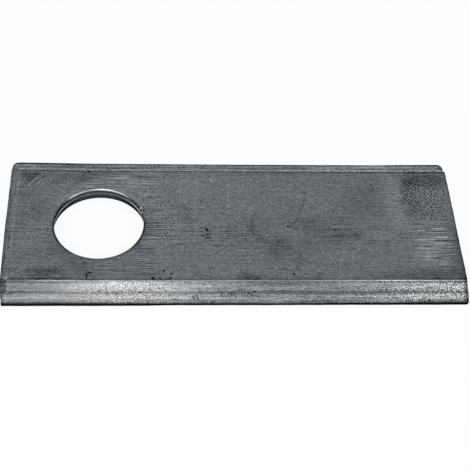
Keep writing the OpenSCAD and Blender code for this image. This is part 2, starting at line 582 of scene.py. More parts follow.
@dataclass(frozen=True)
class BladeSizes:
    """Sizes of the blade in millimetres: the solid's own, then the forms of its edges."""

    bore_end: float
    free_end: float
    edge: float
    thickness: float
    bore_radius: float
    bore_rim: float = 0.26
    bevel_width: float = 4.3
    edge_land: float = 0.5
    step_to_edge: float = 1.88
    step_width: float = 0.3
    step_fall: float = 0.05
    roll_length: float = 1.6
    roll_length_at_edge: float = 0.5
    roll_radius: float = 5.0
    bore_end_rear_corner: float = 1.5
    bore_end_front_corner: float = 0.3
    free_end_rear_corner: float = 0.9
    free_end_front_corner: float = 0.5
    # The bore's wall: drawn in by the punch, then torn wider below, most towards the two ends
    bore_draw: float = 0.08
    bore_tear: float = 0.03
    bore_tear_beside: float = 0.22
    # How far the outline departs from a straight-sided bar
    rear_edge_bow: float = 0.33
    rear_edge_flare: float = 0.21
    rear_edge_tip: float = 0.17
    rear_ridge_tip: float = 0.12
    front_edge_bulge: float = 0.09
    bore_end_bulge: float = 0.07
    bore_end_foot_inset: float = 0.36
    free_end_bulge: float = 0.07
    free_end_flare: float = 0.18
    free_end_hollow: float = 0.25

    @classmethod
    def from_frame(cls, node: str, mount: str) -> "BladeSizes":
        """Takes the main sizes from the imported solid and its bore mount.

        Args:
            node: the solid's name.
            mount: the name of the bore's mount in the record.

        Returns:
            The sizes, with the finer ones at their defaults.
        """
        low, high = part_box(node)
        bore = next(m for m in frame["record"]["mounts"] if m["name"] == mount)
        return cls(
            bore_end=low.x / MM,
            free_end=high.x / MM,
            edge=high.y / MM,
            thickness=high.z / MM,
            bore_radius=bore["dims"]["r_mm"],
        )

    @property
    def ridge(self) -> float:
        """Distance of each bevel's ridge from the blade's centre line."""
        return self.edge - self.bevel_width

    @property
    def step_end(self) -> float:
        """Distance of the step's upper line from the edge."""
        return self.step_to_edge + self.step_width

    @property
    def roll_start(self) -> float:
        """Place along the blade where the rolled band at the bore end begins."""
        return self.bore_end + self.roll_length

    @property
    def slope(self) -> float:
        """Rise of both grinds per millimetre across the blade."""
        rise = self.thickness - self.edge_land - self.step_fall
        return rise / (self.bevel_width - self.step_width)


@dataclass(frozen=True)
class Pattern:
    """One layer of a finish: noise drawn out to a real size, or wavy rings or lines a size apart.

    Its value is centred on 0. Where cut is set, it is instead 0 below the first cut and 1 above the
    second, which leaves separate marks.
    """

    size: tuple[float, float, float]
    weight: float
    mask: Field | None = None
    turn: float = 0.0
    centre: tuple[float, float] = (0.0, 0.0)
    texture: Texture = Texture.NOISE
    detail: float = 2.0
    distortion: float = 1.6
    cut: tuple[float, float] | None = None

    def value(self, tree: bpy.types.NodeTree, place: Socket) -> Socket:
        """Draws the pattern.

        Args:
            tree: the material's node tree.
            place: the Object coordinates.

        Returns:
            The pattern times its weight.
        """
        spot = {
            "vector_type": "TEXTURE",
            "Location": (self.centre[0] * MM, self.centre[1] * MM, 0.0),
            "Rotation": (0.0, 0.0, math.radians(self.turn)),
            "Scale": tuple(length * MM for length in self.size),
        }
        at = add(tree, "ShaderNodeMapping", spot, {"Vector": place}).outputs[0]
        wave = {"Scale": WAVE_SCALE, "Distortion": self.distortion, "Detail": self.detail}
        if self.texture is Texture.RINGS:
            kind, draw = "ShaderNodeTexWave", {**wave, "wave_type": "RINGS", "rings_direction": "Z"}
        elif self.texture is Texture.LINES:
            kind, draw = "ShaderNodeTexWave", {**wave, "wave_type": "BANDS", "bands_direction": "X"}
        else:
            kind, draw = "ShaderNodeTexNoise", {"Scale": 1.0, "Detail": self.detail}
            draw["Roughness"] = NOISE_ROUGHNESS
        drawn = add(tree, kind, draw, {"Vector": at})
        if self.cut is None:
            span = {"To Min": -self.weight / 2, "To Max": self.weight / 2}
        else:
            span = {"interpolation_type": "SMOOTHSTEP", "To Min": 0.0, "To Max": self.weight}
            span.update({"From Min": self.cut[0], "From Max": self.cut[1]})
        return add(tree, "ShaderNodeMapRange", span, {"Value": drawn.outputs["Fac"]}).outputs[0]


@dataclass(frozen=True)
class Finish:
    """A steel finish: a colour, times 1 plus its patterns, times 1 plus the mesh's tone of stains and
    painted light.

    Where the mesh says that the steel is clean, the colour turns to that of cleaned steel. Where the
    patterns are light, the steel is also a little smoother and stands a little higher. An edge tint
    below 1 keeps dull steel from turning to a mirror at a slant, and more so where it is dark.
    """

    name: str
    colour: str
    clean_colour: str
    metallic: float
    roughness: float
    relief: float
    patterns: tuple[Pattern, ...]
    marks: tuple[Mark, ...] = ()
    edge_tint: float = 1.0
    roughness_swing: float = 0.08
    stain_size: float = 1.1
    stain_swing: float = 1.6
    border_size: float = 0.34
    border_swing: float = 1.2
    grain_span: float = 0.4
    darkest_grain: float = 0.2
    darkest_mark: float = 0.06

    def build(self) -> bpy.types.Material:
        """Makes the material.

        Returns:
            The material.
        """
        material = bpy.data.materials.new(self.name)
        material.use_nodes = True
        tree = material.node_tree
        tree.nodes.clear()
        place = add(tree, "ShaderNodeTexCoord").outputs["Object"]
        read = {
            kind: add(tree, "ShaderNodeAttribute", {"attribute_name": kind.value}).outputs["Fac"]
            for kind in Field
        }
        grain = self.grain(tree, place, read)
        tone = self.tones(tree, place, read)
        shares = []
        for value, least in ((grain, self.darkest_grain), (tone, self.darkest_mark)):
            share = add(tree, "ShaderNodeMath", {"operation": "ADD", 1: 1.0}, {0: value}).outputs[0]
            share = add(tree, "ShaderNodeMath", {"operation": "MAXIMUM", 1: least}, {0: share}).outputs[0]
            shares.append(share)
        parts = dict(enumerate(shares))
        factor = add(tree, "ShaderNodeMath", {"operation": "MULTIPLY"}, parts).outputs[0]
        tints = {"data_type": "RGBA", "A": linear(self.colour), "B": linear(self.clean_colour)}
        base = add(tree, "ShaderNodeMix", tints, {"Factor": read[Field.CLEAN]}).outputs["Result"]
        scaled = {0: base, "Scale": factor}
        colour = add(tree, "ShaderNodeVectorMath", {"operation": "SCALE"}, scaled).outputs[0]
        swing = {"From Min": -self.grain_span, "From Max": self.grain_span}
        swing["To Min"] = self.roughness + self.roughness_swing
        swing["To Max"] = self.roughness - self.roughness_swing
        roughness = add(tree, "ShaderNodeMapRange", swing, {"Value": grain}).outputs[0]
        bump = {"Strength": 1.0, "Distance": self.relief * MM}
        normal = add(tree, "ShaderNodeBump", bump, {"Height": grain}).outputs[0]
        dull = add(tree, "ShaderNodeMath", {"operation": "MINIMUM", 1: 1.0}, {0: factor}).outputs[0]
        slant = {"operation": "SCALE", 0: (self.edge_tint,) * 3}
        tint = add(tree, "ShaderNodeVectorMath", slant, {"Scale": dull}).outputs[0]
        shader = add(
            tree,
            "ShaderNodeBsdfPrincipled",
            {"Metallic": self.metallic},
            {"Base Color": colour, "Roughness": roughness, "Normal": normal, "Specular Tint": tint},
        )
        add(tree, "ShaderNodeOutputMaterial", links={"Surface": shader.outputs[0]})
        return material

    def grain(self, tree: bpy.types.NodeTree, place: Socket, read: Mapping[Field, Socket]) -> Socket:
        """Adds up the patterns, each times its mask.

        Args:
            tree: the material's node tree.
            place: the Object coordinates.
            read: the mesh's values.

        Returns:
            The sum.
        """
        grain: Socket | None = None
        for pattern in self.patterns:
            value = pattern.value(tree, place)
            if pattern.mask is not None:
                parts = {0: value, 1: read[pattern.mask]}
                value = add(tree, "ShaderNodeMath", {"operation": "MULTIPLY"}, parts).outputs[0]
            if grain is not None:
                value = add(tree, "ShaderNodeMath", {"operation": "ADD"}, {0: value, 1: grain}).outputs[0]
            grain = value
        return grain

    def tones(self, tree: bpy.types.NodeTree, place: Socket, read: Mapping[Field, Socket]) -> Socket:
        """Adds up the mesh's tone, its stains and painted light and shade, made blotchy, and the finer
        marks.

        Args:
            tree: the material's node tree.
            place: the Object coordinates.
            read: the mesh's values.

        Returns:
            The change of tone, as a share.
        """
        blotch = Pattern((self.stain_size,) * 3, weight=self.stain_swing).value(tree, place)
        blotch = add(tree, "ShaderNodeMath", {"operation": "ADD", 1: 1.0}, {0: blotch}).outputs[0]
        parts = {0: read[Field.TONE], 1: blotch}
        tone = add(tree, "ShaderNodeMath", {"operation": "MULTIPLY"}, parts).outputs[0]
        border = Pattern((self.border_size,) * 3, weight=self.border_swing, detail=0.0).value(tree, place)
        for mark in self.marks:
            parts = {0: tone, 1: mark.draw(tree, place, border)}
            tone = add(tree, "ShaderNodeMath", {"operation": "ADD"}, parts).outputs[0]
        return tone


# Rolled spring steel, hardened, tempered and wiped with oil. It gives the eye a dull blue-grey face
# with a fine mottle of oxide, short lines along the bar from rolling and brushing, and darker blots
# where oil has dried. The oxide's grain is far finer than this: it is drawn as coarse as it needs
# to be to show.
FACE_STEEL = Finish(
    name="tempered_rolled_steel",
    colour="#7A8085",
    clean_colour="#7D8386",
    metallic=0.9,
    roughness=0.44,
    relief=0.012,
    marks=(*FACE_PITS.values(), *FACE_SCRATCHES.values()),
    patterns=(
        Pattern((0.26, 0.26, 0.26), weight=1.1, detail=0.0),
        Pattern((0.6, 0.5, 0.5), weight=0.45),
        Pattern((1.5, 0.27, 0.5), weight=0.75, detail=0.0),
        Pattern((7.0, 0.25, 1.0), weight=2.2, mask=Field.BRUSH, detail=0.0),
        Pattern((0.57, 3.0, 3.0), weight=0.75, mask=Field.BRUSH, turn=90.0, texture=Texture.LINES),
        Pattern((30.0, 0.4, 1.0), weight=0.5),
        Pattern((5.0, 5.0, 5.0), weight=0.35),
        Pattern((9.0, 0.22, 1.0), weight=0.9, mask=Field.STREAK, cut=(0.57, 0.64), detail=0.0),
        Pattern((0.42, 0.29, 1.0), weight=2.8, mask=Field.HATCH, turn=35.0, detail=0.0),
        Pattern((0.6, 1.6, 1.0), 0.7, Field.HATCH, turn=28.0, texture=Texture.LINES, distortion=4.0),
        Pattern((0.54, 0.54, 0.54), 0.7, Field.ARCS, centre=(-18.5, -19.0), texture=Texture.RINGS),
        Pattern((6.0, 0.36, 1.0), weight=0.7, mask=Field.STROKES, turn=54.0, cut=(0.56, 0.66), detail=0.0),
        Pattern((3.0, 0.32, 1.0), weight=1.3, mask=Field.STROKES, turn=50.0, detail=0.0),
        Pattern((0.28, 7.0, 1.0), weight=1.5, mask=Field.ROLLED, turn=-1.0, detail=0.0),
        Pattern((0.5, 0.34, 0.5), weight=-0.35, cut=(0.68, 0.78)),
    ),
)

# Hardened steel ground by a coarse wheel. It gives the eye a paler, glittering bevel of grit marks
# and short lines along the edge, with dark specks in the step where the two grinds meet. Real grit
# marks are finer than this: they are drawn as coarse as they need to be to show.
FRONT_STEEL = Finish(
    name="wheel_ground_steel",
    colour="#979DA0",
    # The clean colour is also the tint of the bevel's painted highlight
    clean_colour="#A5A4A4",
    metallic=1.0,
    roughness=0.36,
    relief=0.015,
    stain_swing=0.4,
    darkest_grain=0.08,
    marks=tuple(BEVEL_SCRATCHES.values()),
    patterns=(
        Pattern((0.2, 0.2, 0.2), weight=4.6, mask=Field.GRAIN, detail=0.0),
        Pattern((0.24, 1.0, 1.0), weight=1.0, mask=Field.GRAIN, detail=0.0),
        Pattern((1.6, 0.25, 0.25), weight=0.8, mask=Field.BRUSH, detail=0.0),
        Pattern((14.0, 0.3, 0.3), weight=1.0, mask=Field.BRUSH, detail=0.0),
        Pattern((3.0, 2.0, 2.0), weight=0.4),
        Pattern((0.4, 0.3, 0.3), weight=-0.7, mask=Field.SPECKS, cut=(0.58, 0.66), detail=0.0),
    ),
)

# The same grind on the rear edge, tempered after it was ground. It gives the eye a dull blue-grey
# bevel, close to the face and less blued on its lower grind, with lines along the edge. They are
# drawn coarser than real ones, so that they show.
REAR_STEEL = Finish(
    name="tempered_ground_steel",
    colour="#82888B",
    clean_colour="#888A8B",
    metallic=1.0,
    roughness=0.42,
    relief=0.012,
    edge_tint=0.62,
    stain_swing=0.4,
    patterns=(
        Pattern((0.3, 0.6, 0.6), weight=1.6, detail=0.0),
        Pattern((2.6, 0.55, 0.55), weight=0.7, detail=0.0),
        Pattern((14.0, 0.6, 0.6), weight=1.1, detail=0.0),
        Pattern((4.0, 2.0, 2.0), weight=0.5),
    ),
)

# Sheared bar ends and blunt lands, left with their dark heat-treatment scale. They give the eye a
# nearly black rim around the paler faces, with upright tear marks.
SHEAR_STEEL = Finish(
    name="sheared_scaled_steel",
    colour="#2B2F31",
    clean_colour="#2B2F31",
    metallic=0.9,
    roughness=0.5,
    relief=0.03,
    edge_tint=0.4,
    stain_swing=0.3,
    patterns=(
        Pattern((0.3, 0.3, 1.6), weight=1.6),
        Pattern((2.0, 2.0, 0.4), weight=0.8),
    ),
)

# A punched bore: grey steel with drag marks. The bright line on its rim is a painted highlight and
# its dark wall painted shade, both carried by the mesh's tone.
BORE_STEEL = Finish(
    name="punched_steel_painted_rim_light",
    colour="#63676A",
    clean_colour="#63676A",
    metallic=1.0,
    roughness=0.26,
    relief=0.01,
    edge_tint=0.75,
    stain_swing=0.3,
    marks=tuple(BORE_NICKS.values()),
    patterns=(
        Pattern((0.3, 0.3, 2.5), weight=0.8),
        Pattern((0.4, 0.4, 0.4), weight=0.5),
    ),
)


# Fades what lies beside a ridge out past the start of the rolled band, where the ridge is smoothed
ROLL_FADE = Course(steps=((1.0, -0.5, 0.2),))


@dataclass(frozen=True)
class FrontBevelWearAndLight:
    """How the front bevel looks: shares of its tone along and inward from its edge.

    A broad painted highlight makes the steel palest and cleanest beside the bore, and paler again
    towards the free end. Painted glints, a painted highlight and a painted shade line at the ridge,
    and painted shade at the step and the ends lie over the wheel's grind. Courses along the blade
    read x, and the others the distance that they name.
    """

    sizes: BladeSizes
    # The painted highlight beside the bore: where it peaks, and its height and widths on each grind
    highlight_at: float = 3.0
    upper_highlight: float = 0.81
    upper_highlight_widths: tuple[float, float] = (12.0, 16.0)
    lower_highlight: float = 0.56
    lower_highlight_widths: tuple[float, float] = (20.0, 17.0)
    # The two grinds along the blade, and what both share, with the painted highlight towards the free end
    upper: Course = Course(-0.4, steps=((-0.07, 62.0, 69.0), (-0.03, -4.0, -10.0)))
    lower: Course = Course(
        -0.39,
        steps=((-0.08, 60.0, 68.0), (0.05, -4.0, -10.0)),
        humps=((0.08, 12.0, 4.0), (0.08, 36.0, 5.0)),
    )
    both: Course = Course(humps=((0.34, 71.0, 17.0), (-0.06, 43.0, 11.0)))
    dull_by_ridge: Streak = Streak(Course(humps=((-0.1, 39.0, 5.0),)), Course(steps=((1.0, 2.8, 3.2),)))
    dull_by_step: Streak = Streak(Course(humps=((-0.13, 5.0, 12.0),)), Course(steps=((1.0, 3.4, 2.3),)))
    # The step: painted shade in its crease, but pale under the painted highlight beside the bore, with
    # a painted shade line under it at both ends
    step_dark: Course = Course(-0.12, steps=((-0.1, 44.0, 52.0),))
    step_pale: Course = Course(1.0, humps=((-2.0, 6.0, 14.0),))
    step_across: Course = Course(humps=((1.0, 0.05, 0.26),))
    under_step: Streak = Streak(
        Course(steps=((-0.13, 16.0, 4.0), (-0.3, 58.0, 66.0))), Course(humps=((1.0, 1.62, 0.15),))
    )
    # Painted glints on the lower grind: one that wanders at mid length, and two towards the free end
    glint: Course = Course(0.12, humps=((0.4, 24.0, 8.0),))
    glint_stop: Course = Course(steps=((1.0, 46.0, 36.0),))
    glint_wander: Course = Course(steps=((0.25, 6.0, 18.0), (0.15, 31.0, 38.0)))
    glint_across: Course = Course(humps=((1.0, 1.17, 0.15),))
    end_glint: Streak = Streak(
        Course(steps=((0.3, 50.0, 58.0), (0.4, 60.0, 66.0))), Course(humps=((1.0, 1.38, 0.14),))
    )
    edge_glint: Streak = Streak(Course(humps=((0.6, 59.0, 5.0),)), Course(humps=((1.0, 0.43, 0.13),)))
    # The foot of the bevel, darker towards the edge, and a dark line beside the blunt edge, nearer or
    # farther in
    foot_dark: Streak = Streak(
        Course(0.42, steps=((0.06, 62.0, 68.0),), humps=((-0.36, 38.0, 8.0),)),
        Course(steps=((1.0, 1.2, 0.5),)),
    )
    edge_line: Course = Course(steps=((0.9, 0.36, 0.11),))
    edge_shift: Course = Course(
        steps=((0.06, 6.0, 0.0), (-0.06, 6.0, 12.0), (0.16, 58.0, 68.0)), humps=((-0.03, 39.0, 6.0),)
    )
    # The painted highlight line on the ridge, which fades out beside the bore, and the painted shade
    # line at its root
    ridge_shine: Course = Course(
        steps=((1.0, -15.0, -12.0), (-0.9, -8.0, 0.0), (0.9, 14.0, 28.0)),
        humps=((0.95, 57.5, 10.0), (0.3, -8.5, 3.5), (0.8, 62.5, 5.5)),
    )
    ridge_line: Course = Course(humps=((0.8, -0.1, 0.11),))
    ridge_smooth: Course = Course(humps=((0.7, -0.1, 0.16),))
    root: Course = Course(
        -0.2, steps=((-0.3, 7.0, -2.0), (-0.1, 18.0, 32.0), (-0.3, 46.0, 62.0), (-0.18, 61.0, 65.0))
    )
    root_wander: Course = Course(humps=((0.18, 37.0, 6.0),))
    root_across: Course = Course(humps=((1.0, -0.31, 0.16),))
    # The rolled end: how long it is at each distance inward, its painted shade and its painted bright
    # border. Then the painted shade at the free end's border
    roll_length: Course = Course(0.95, steps=((0.5, 1.4, 2.6),))
    roll_shade: Course = Course(steps=((-0.3, 0.15, -0.25),))
    roll_border: Course = Course(humps=((0.4, 0.3, 0.2),))
    free_end_shade: Course = Course(steps=((-0.8, 0.9, 0.3),))
    # Cleaned, paler steel at the free end under the painted highlight there, its greatest share, and
    # what the lower grind lacks of it
    free_end_clean: Course = Course(steps=((1.0, 62.0, 69.0),))
    free_end_cleaned: float = 0.6
    below_step: Course = Course(steps=((0.3, 0.3, -0.3),))
    # The wheel's lines and grit along the blade, and the dark specks beside the step
    lines: Course = Course(1.0, steps=((-0.4, 56.0, 68.0),), humps=((-0.55, 2.0, 13.0),))
    grit: Course = Course(0.42, steps=((-0.16, 0.0, -9.0),), humps=((0.16, 7.0, 9.0), (0.58, 71.0, 13.0)))
    specks_by_bore: Course = Course(humps=((1.0, 5.0, 9.0),))
    specks_at_end: Course = Course(steps=((1.0, 48.0, 68.0),))
    specks_mid: Course = Course(humps=((0.6, 31.0, 7.0),))
    specks_across: Course = Course(humps=((1.0, 0.2, 0.55),))

    def bite(self, x: Array, widths: tuple[float, float]) -> Array:
        """How strong the painted highlight is: 1 beside the bore, falling off to either side."""
        return lopsided(x, self.highlight_at, *widths)

    def grinds(self, x: Array, inward: Array) -> Array:
        """Tone of the two grinds with their painted highlight, the lower turning into the upper over the
        width of the step.

        Args:
            x: places along the blade.
            inward: distance from the cutting edge, in plan.

        Returns:
            The change of tone, as a share.
        """
        upper = self.upper_highlight * self.bite(x, self.upper_highlight_widths) + self.upper.at(x)
        upper += self.dull_by_ridge.at(x, inward) + self.dull_by_step.at(x, inward)
        lower = self.lower_highlight * self.bite(x, self.lower_highlight_widths) + self.lower.at(x)
        return lower + (upper - lower) * self.above_step(inward) + self.both.at(x)

    def above_step(self, inward: Array) -> Array:
        """0 on the lower grind and 1 on the upper one, smoothly over the step."""
        return ease(self.sizes.step_to_edge, self.sizes.step_end, inward)

    def step(self, x: Array, inward: Array) -> Array:
        """Tone of the step and of the line under it.

        Args:
            x: places along the blade.
            inward: distance from the cutting edge, in plan.

        Returns:
            The change of tone, as a share.
        """
        middle = (self.sizes.step_to_edge + self.sizes.step_end) / 2
        cut = self.step_dark.at(x) * self.step_pale.at(x) * self.step_across.at(inward - middle)
        return cut + self.under_step.at(x, inward)

    def foot(self, x: Array, inward: Array) -> Array:
        """Brightness of the lower grind's foot: darker towards the edge, with painted glints on it.

        Args:
            x: places along the blade.
            inward: distance from the cutting edge, in plan.

        Returns:
            A factor for the tone.
        """
        glint = self.glint.at(x) * self.glint_stop.at(x)
        glint *= self.glint_across.at(inward + self.glint_wander.at(x))
        glint += self.end_glint.at(x, inward) + self.edge_glint.at(x, inward)
        dark = 1.0 - self.edge_line.at(inward - self.edge_shift.at(x))
        return (1.0 - self.foot_dark.at(x, inward)) * dark * (1.0 + glint)

    def ridge(self, x: Array, inward: Array) -> Array:
        """Tone of the painted highlight line on the ridge and of the painted shade line at its root.

        Args:
            x: places along the blade.
            inward: distance from the cutting edge, in plan.

        Returns:
            The change of tone, as a share.
        """
        past_ridge = inward - self.sizes.bevel_width
        line = self.ridge_line.at(past_ridge) * self.ridge_shine.at(x)
        return line + self.root.at(x) * self.root_across.at(past_ridge + self.root_wander.at(x))

    def ends(self, x: Array, inward: Array) -> Array:
        """Brightness at the two ends: painted shade on the roll with a painted bright border, and painted
        shade at the free end.

        Args:
            x: places along the blade.
            inward: distance from the cutting edge, in plan.

        Returns:
            A factor for the tone.
        """
        from_roll = x - self.sizes.bore_end - self.roll_length.at(inward)
        roll = (1.0 + self.above_step(inward)) * self.roll_shade.at(from_roll)
        roll += self.roll_border.at(from_roll)
        return (1.0 + roll) * (1.0 + self.free_end_shade.at(self.sizes.free_end - x))

    def tone(self, x: Array, inward: Array) -> Array:
        """Tone of the whole bevel: the product of its parts, each as 1 plus its share, less 1.

        Args:
            x: places along the blade.
            inward: distance from the cutting edge, in plan.

        Returns:
            The change of tone, as a share.
        """
        whole = (1.0 + self.grinds(x, inward)) * (1.0 + self.step(x, inward)) * self.foot(x, inward)
        return whole * (1.0 + self.ridge(x, inward)) * self.ends(x, inward) - 1.0

    def clean(self, x: Array, inward: Array) -> Array:
        """How clean and pale the steel is: under the painted highlight beside the bore, and less so at the
        free end.

        Args:
            x: places along the blade.
            inward: distance from the cutting edge, in plan.

        Returns:
            Shares from 0 to about 1.
        """
        below = self.below_step.at(inward - self.sizes.step_to_edge)
        highlit = self.bite(x, self.upper_highlight_widths) * (1.0 - below)
        return highlit + self.free_end_clean.at(x) * (self.free_end_cleaned - below)

    def grain(self, x: Array, inward: Array) -> Array:
        """How strongly the grit shows: less on the ridge, under its painted highlight line."""
        under_shine = np.clip(self.ridge_shine.at(x), 0.0, 1.0)
        return self.grit.at(x) * (1.0 - self.ridge_smooth.at(inward - self.sizes.bevel_width) * under_shine)

    def specks(self, x: Array, inward: Array) -> Array:
        """How strongly the dark specks show: beside the step, by the bore, at mid length and the end."""
        along = np.maximum(self.specks_by_bore.at(x), self.specks_at_end.at(x)) + self.specks_mid.at(x)
        return along * self.specks_across.at(inward - self.sizes.step_end)


@dataclass(frozen=True)
class RearBevelWearAndLight:
    """How the duller rear bevel looks, with a painted highlight by its ridge and painted shade at its
    ends: shares of its tone along and inward from its edge.
    """

    sizes: BladeSizes
    # A painted highlight line by the ridge, a dark band just above the step, and a band that dips at mid
    # length
    line: Course = Course(
        0.936, steps=((0.52, -4.0, -10.0), (0.845, 62.0, 68.0)), humps=((0.39, 49.0, 5.0),)
    )
    line_across: Course = Course(humps=((1.0, -0.42, 0.24),))
    step_across: Course = Course(humps=((-0.16, 0.3, 0.45),))
    dip: Streak = Streak(
        Course(steps=((0.26, 56.0, 66.0),), humps=((-0.28, 35.0, 9.0),)), Course(humps=((1.0, 3.1, 0.4),))
    )
    # The pale band of the lower grind, and patches rubbed pale at the step, above it and below it
    lip: Course = Course(humps=((0.18, 1.45, 0.4),))
    rubs: tuple[Streak, ...] = (
        Streak(
            Course(
                humps=(
                    (0.65, 19.0, 5.0),
                    (0.95, 49.5, 4.6),
                    (0.36, 58.0, 5.0),
                    (0.14, -10.0, 5.0),
                    (0.14, 29.0, 5.0),
                )
            ),
            Course(humps=((1.0, 2.1, 0.42),)),
        ),
        Streak(Course(humps=((0.3, 1.8, 2.5),)), Course(humps=((1.0, 3.1, 0.5),))),
        Streak(Course(humps=((0.25, 52.5, 3.0),)), Course(humps=((1.0, 1.4, 0.4),))),
    )
    # Slow changes along the blade, a dark patch of the foot, and the foot, bare in three places
    sweep: Course = Course(humps=((0.14, 60.0, 14.0), (-0.05, -8.0, 14.0)))
    dark_foot: Streak = Streak(Course(humps=((-0.24, 39.0, 4.5),)), Course(steps=((1.0, 1.9, 1.2),)))
    foot: Streak = Streak(
        Course(1.0, humps=((-0.85, 61.6, 2.2), (-0.4, 18.0, 3.0), (-0.5, 49.5, 2.6))),
        Course(steps=((-0.75, 1.05, 0.4),)),
    )
    free_end_shade: Course = Course(steps=((-0.55, 1.0, 0.3),))
    bore_end_shade: Course = Course(steps=((-0.4, 0.7, 0.2),))
    less_blued: Streak = Streak(Course(steps=((0.8, -4.0, 6.0),)), Course(steps=((1.0, 2.7, 2.0),)))

    def tone(self, x: Array, inward: Array) -> Array:
        """Tone of the bevel: lines and rubs added up, times its sweep, its foot and its ends.

        Args:
            x: places along the blade.
            inward: distance from the cutting edge, in plan.

        Returns:
            The change of tone, as a share.
        """
        s = self.sizes
        drawn = self.line.at(x) * self.line_across.at(inward - s.bevel_width)
        drawn *= ROLL_FADE.at(x - s.roll_start)
        drawn += self.step_across.at(inward - s.step_end) + self.dip.at(x, inward) + self.lip.at(inward)
        for rub in self.rubs:
            drawn += rub.at(x, inward)
        sweep = self.sweep.at(x) + self.dark_foot.at(x, inward)
        ends = self.free_end_shade.at(s.free_end - x) + self.bore_end_shade.at(x - s.bore_end)
        return (1.0 + drawn) * (1.0 + sweep) * (1.0 + self.foot.at(x, inward)) * (1.0 + ends) - 1.0

    def clean(self, x: Array, inward: Array) -> Array:
        """How clean the steel is: the lower grind, away from the bore end, is less blued."""
        return self.less_blued.at(x, inward)


@dataclass(frozen=True)
class FaceWearAndLight:
    """How the rolled face looks, with its stains and the painted shade and light beside its ends, its
    ridges and the bore, as shares of its tone.

    The courses at the ends read the distance from that end, those by a ridge the distance past it,
    and those round the bore the distance from its wall, or degrees from the rear, rising to the right.
    """

    sizes: BladeSizes
    # How strongly FACE_TONES show, stains and painted shade and light alike
    stain_and_light_strength: float = 1.3
    # The patches' borders are uneven, because they are read at places moved by these
    moved_along: Swell = Swell(0.5, (6.1, 3.7, 2.3, 1.5), seed=21)
    moved_across: Swell = Swell(0.4, (5.3, 3.1, 2.1, 1.3), seed=31)
    # Painted shade by the two ends, with a painted bright line where the bore end's roll begins
    bore_end: Course = Course(steps=((-0.12, 1.6, 0.6), (-0.42, 0.38, 0.12)), humps=((0.2, 1.65, 0.2),))
    free_end: Course = Course(steps=((-0.45, 0.4, 0.1),))
    free_end_front: Course = Course(steps=((-0.1, 1.6, 0.6),))
    front_part: Course = Course(steps=((1.0, 6.0, -4.0),))
    # Painted shade lines where the face meets the ridges
    front_line: Course = Course(-0.5, steps=((-0.2, -4.0, -9.0), (-0.2, 60.0, 68.0)))
    front_line_shift: Course = Course(steps=((0.17, -1.0, -7.0),))
    front_line_across: Course = Course(humps=((1.0, 0.15, 0.2),))
    rear_line: Course = Course(-0.62, steps=((-0.18, 30.0, 40.0),))
    rear_line_across: Course = Course(humps=((1.0, 0.12, 0.18),))
    # Round the bore: painted shade at the rim, a painted shade about it on all but the rear, and painted
    # highlights in arcs at the rear
    rim_shade: Course = Course(steps=((-0.3, 150.0, 175.0),), humps=((-0.65, 118.0, 34.0),))
    rim_shade_right: Course = Course(humps=((-0.3, 95.0, 20.0),))
    rim_reach: Course = Course(steps=((1.0, 0.6, 0.2),))
    shade: Course = Course(steps=((-0.12, 40.0, 80.0),))
    shade_reach: Course = Course(steps=((1.0, 1.2, 0.3),))
    pale: Course = Course(humps=((0.28, -42.0, 28.0), (0.2, 42.0, 14.0)))
    pale_reach: Course = Course(humps=((1.0, 0.8, 0.55),))
    # The band of the bore end where lines across the blade show
    rolled: Course = Course(steps=((1.0, 0.7, -0.3),))
    # Tones from which and over which the steel counts as clean
    clean_from: float = -0.2
    clean_span: float = 0.8

    def moved(self, x: Array, y: Array) -> tuple[Array, Array]:
        """Places at which the patches are read: each point's own, moved by a slight swell."""
        return x + self.moved_along.at(x, y), y + self.moved_across.at(x, y)

    def by_ends(self, x: Array, y: Array) -> Array:
        """Painted shade beside the two cut ends, darker in the free end's front part, with a painted
        bright line on the bore end's roll.

        Args:
            x: places along the blade.
            y: places across the blade.

        Returns:
            The change of tone, as a share.
        """
        to_end = self.sizes.free_end - x
        front = self.free_end_front.at(to_end) * self.front_part.at(y)
        return self.bore_end.at(x - self.sizes.bore_end) + self.free_end.at(to_end) + front

    def by_ridges(self, x: Array, y: Array, past_ridge: Array) -> Array:
        """Tone of the painted shade lines just past the two ridges.

        Args:
            x: places along the blade.
            y: places across the blade.
            past_ridge: distance from the nearer ridge towards the blade's middle.

        Returns:
            The change of tone, as a share.
        """
        front = self.front_line.at(x)
        front *= self.front_line_across.at(past_ridge - self.front_line_shift.at(x))
        rear = self.rear_line.at(x) * self.rear_line_across.at(past_ridge)
        return np.where(y > 0, rear * ROLL_FADE.at(x - self.sizes.roll_start), front)

    def round_bore(self, x: Array, y: Array) -> Array:
        """Painted shade and highlights around the bore, each part a course around it times one away from
        its wall.

        Args:
            x: places along the blade.
            y: places across the blade.

        Returns:
            The change of tone, as a share.
        """
        from_bore = np.hypot(x, y) - self.sizes.bore_radius
        from_rear = np.degrees(np.arctan2(x, y))
        either_way = np.abs(from_rear)
        dark = self.rim_shade.at(either_way) + self.rim_shade_right.at(from_rear)
        tone = dark * self.rim_reach.at(from_bore)
        tone += self.shade.at(either_way) * self.shade_reach.at(from_bore)
        return tone + self.pale.at(from_rear) * self.pale_reach.at(from_bore)

    def tone(self, x: Array, y: Array, past_ridge: Array) -> Array:
        """Tone of the whole face: its stains and patches of painted shade and light, and the painted shade
        and light beside its borders, added up.

        Args:
            x: places along the blade.
            y: places across the blade.
            past_ridge: distance from the nearer ridge towards the blade's middle.

        Returns:
            The change of tone, as a share.
        """
        stains_and_light = self.stain_and_light_strength * total(FACE_TONES, *self.moved(x, y))
        return stains_and_light + self.by_ends(x, y) + self.by_ridges(x, y, past_ridge) + self.round_bore(x, y)

    def clean(self, tone: Array) -> Array:
        """How clean the steel is at each tone: the lighter, the cleaner."""
        return (tone - self.clean_from) / self.clean_span


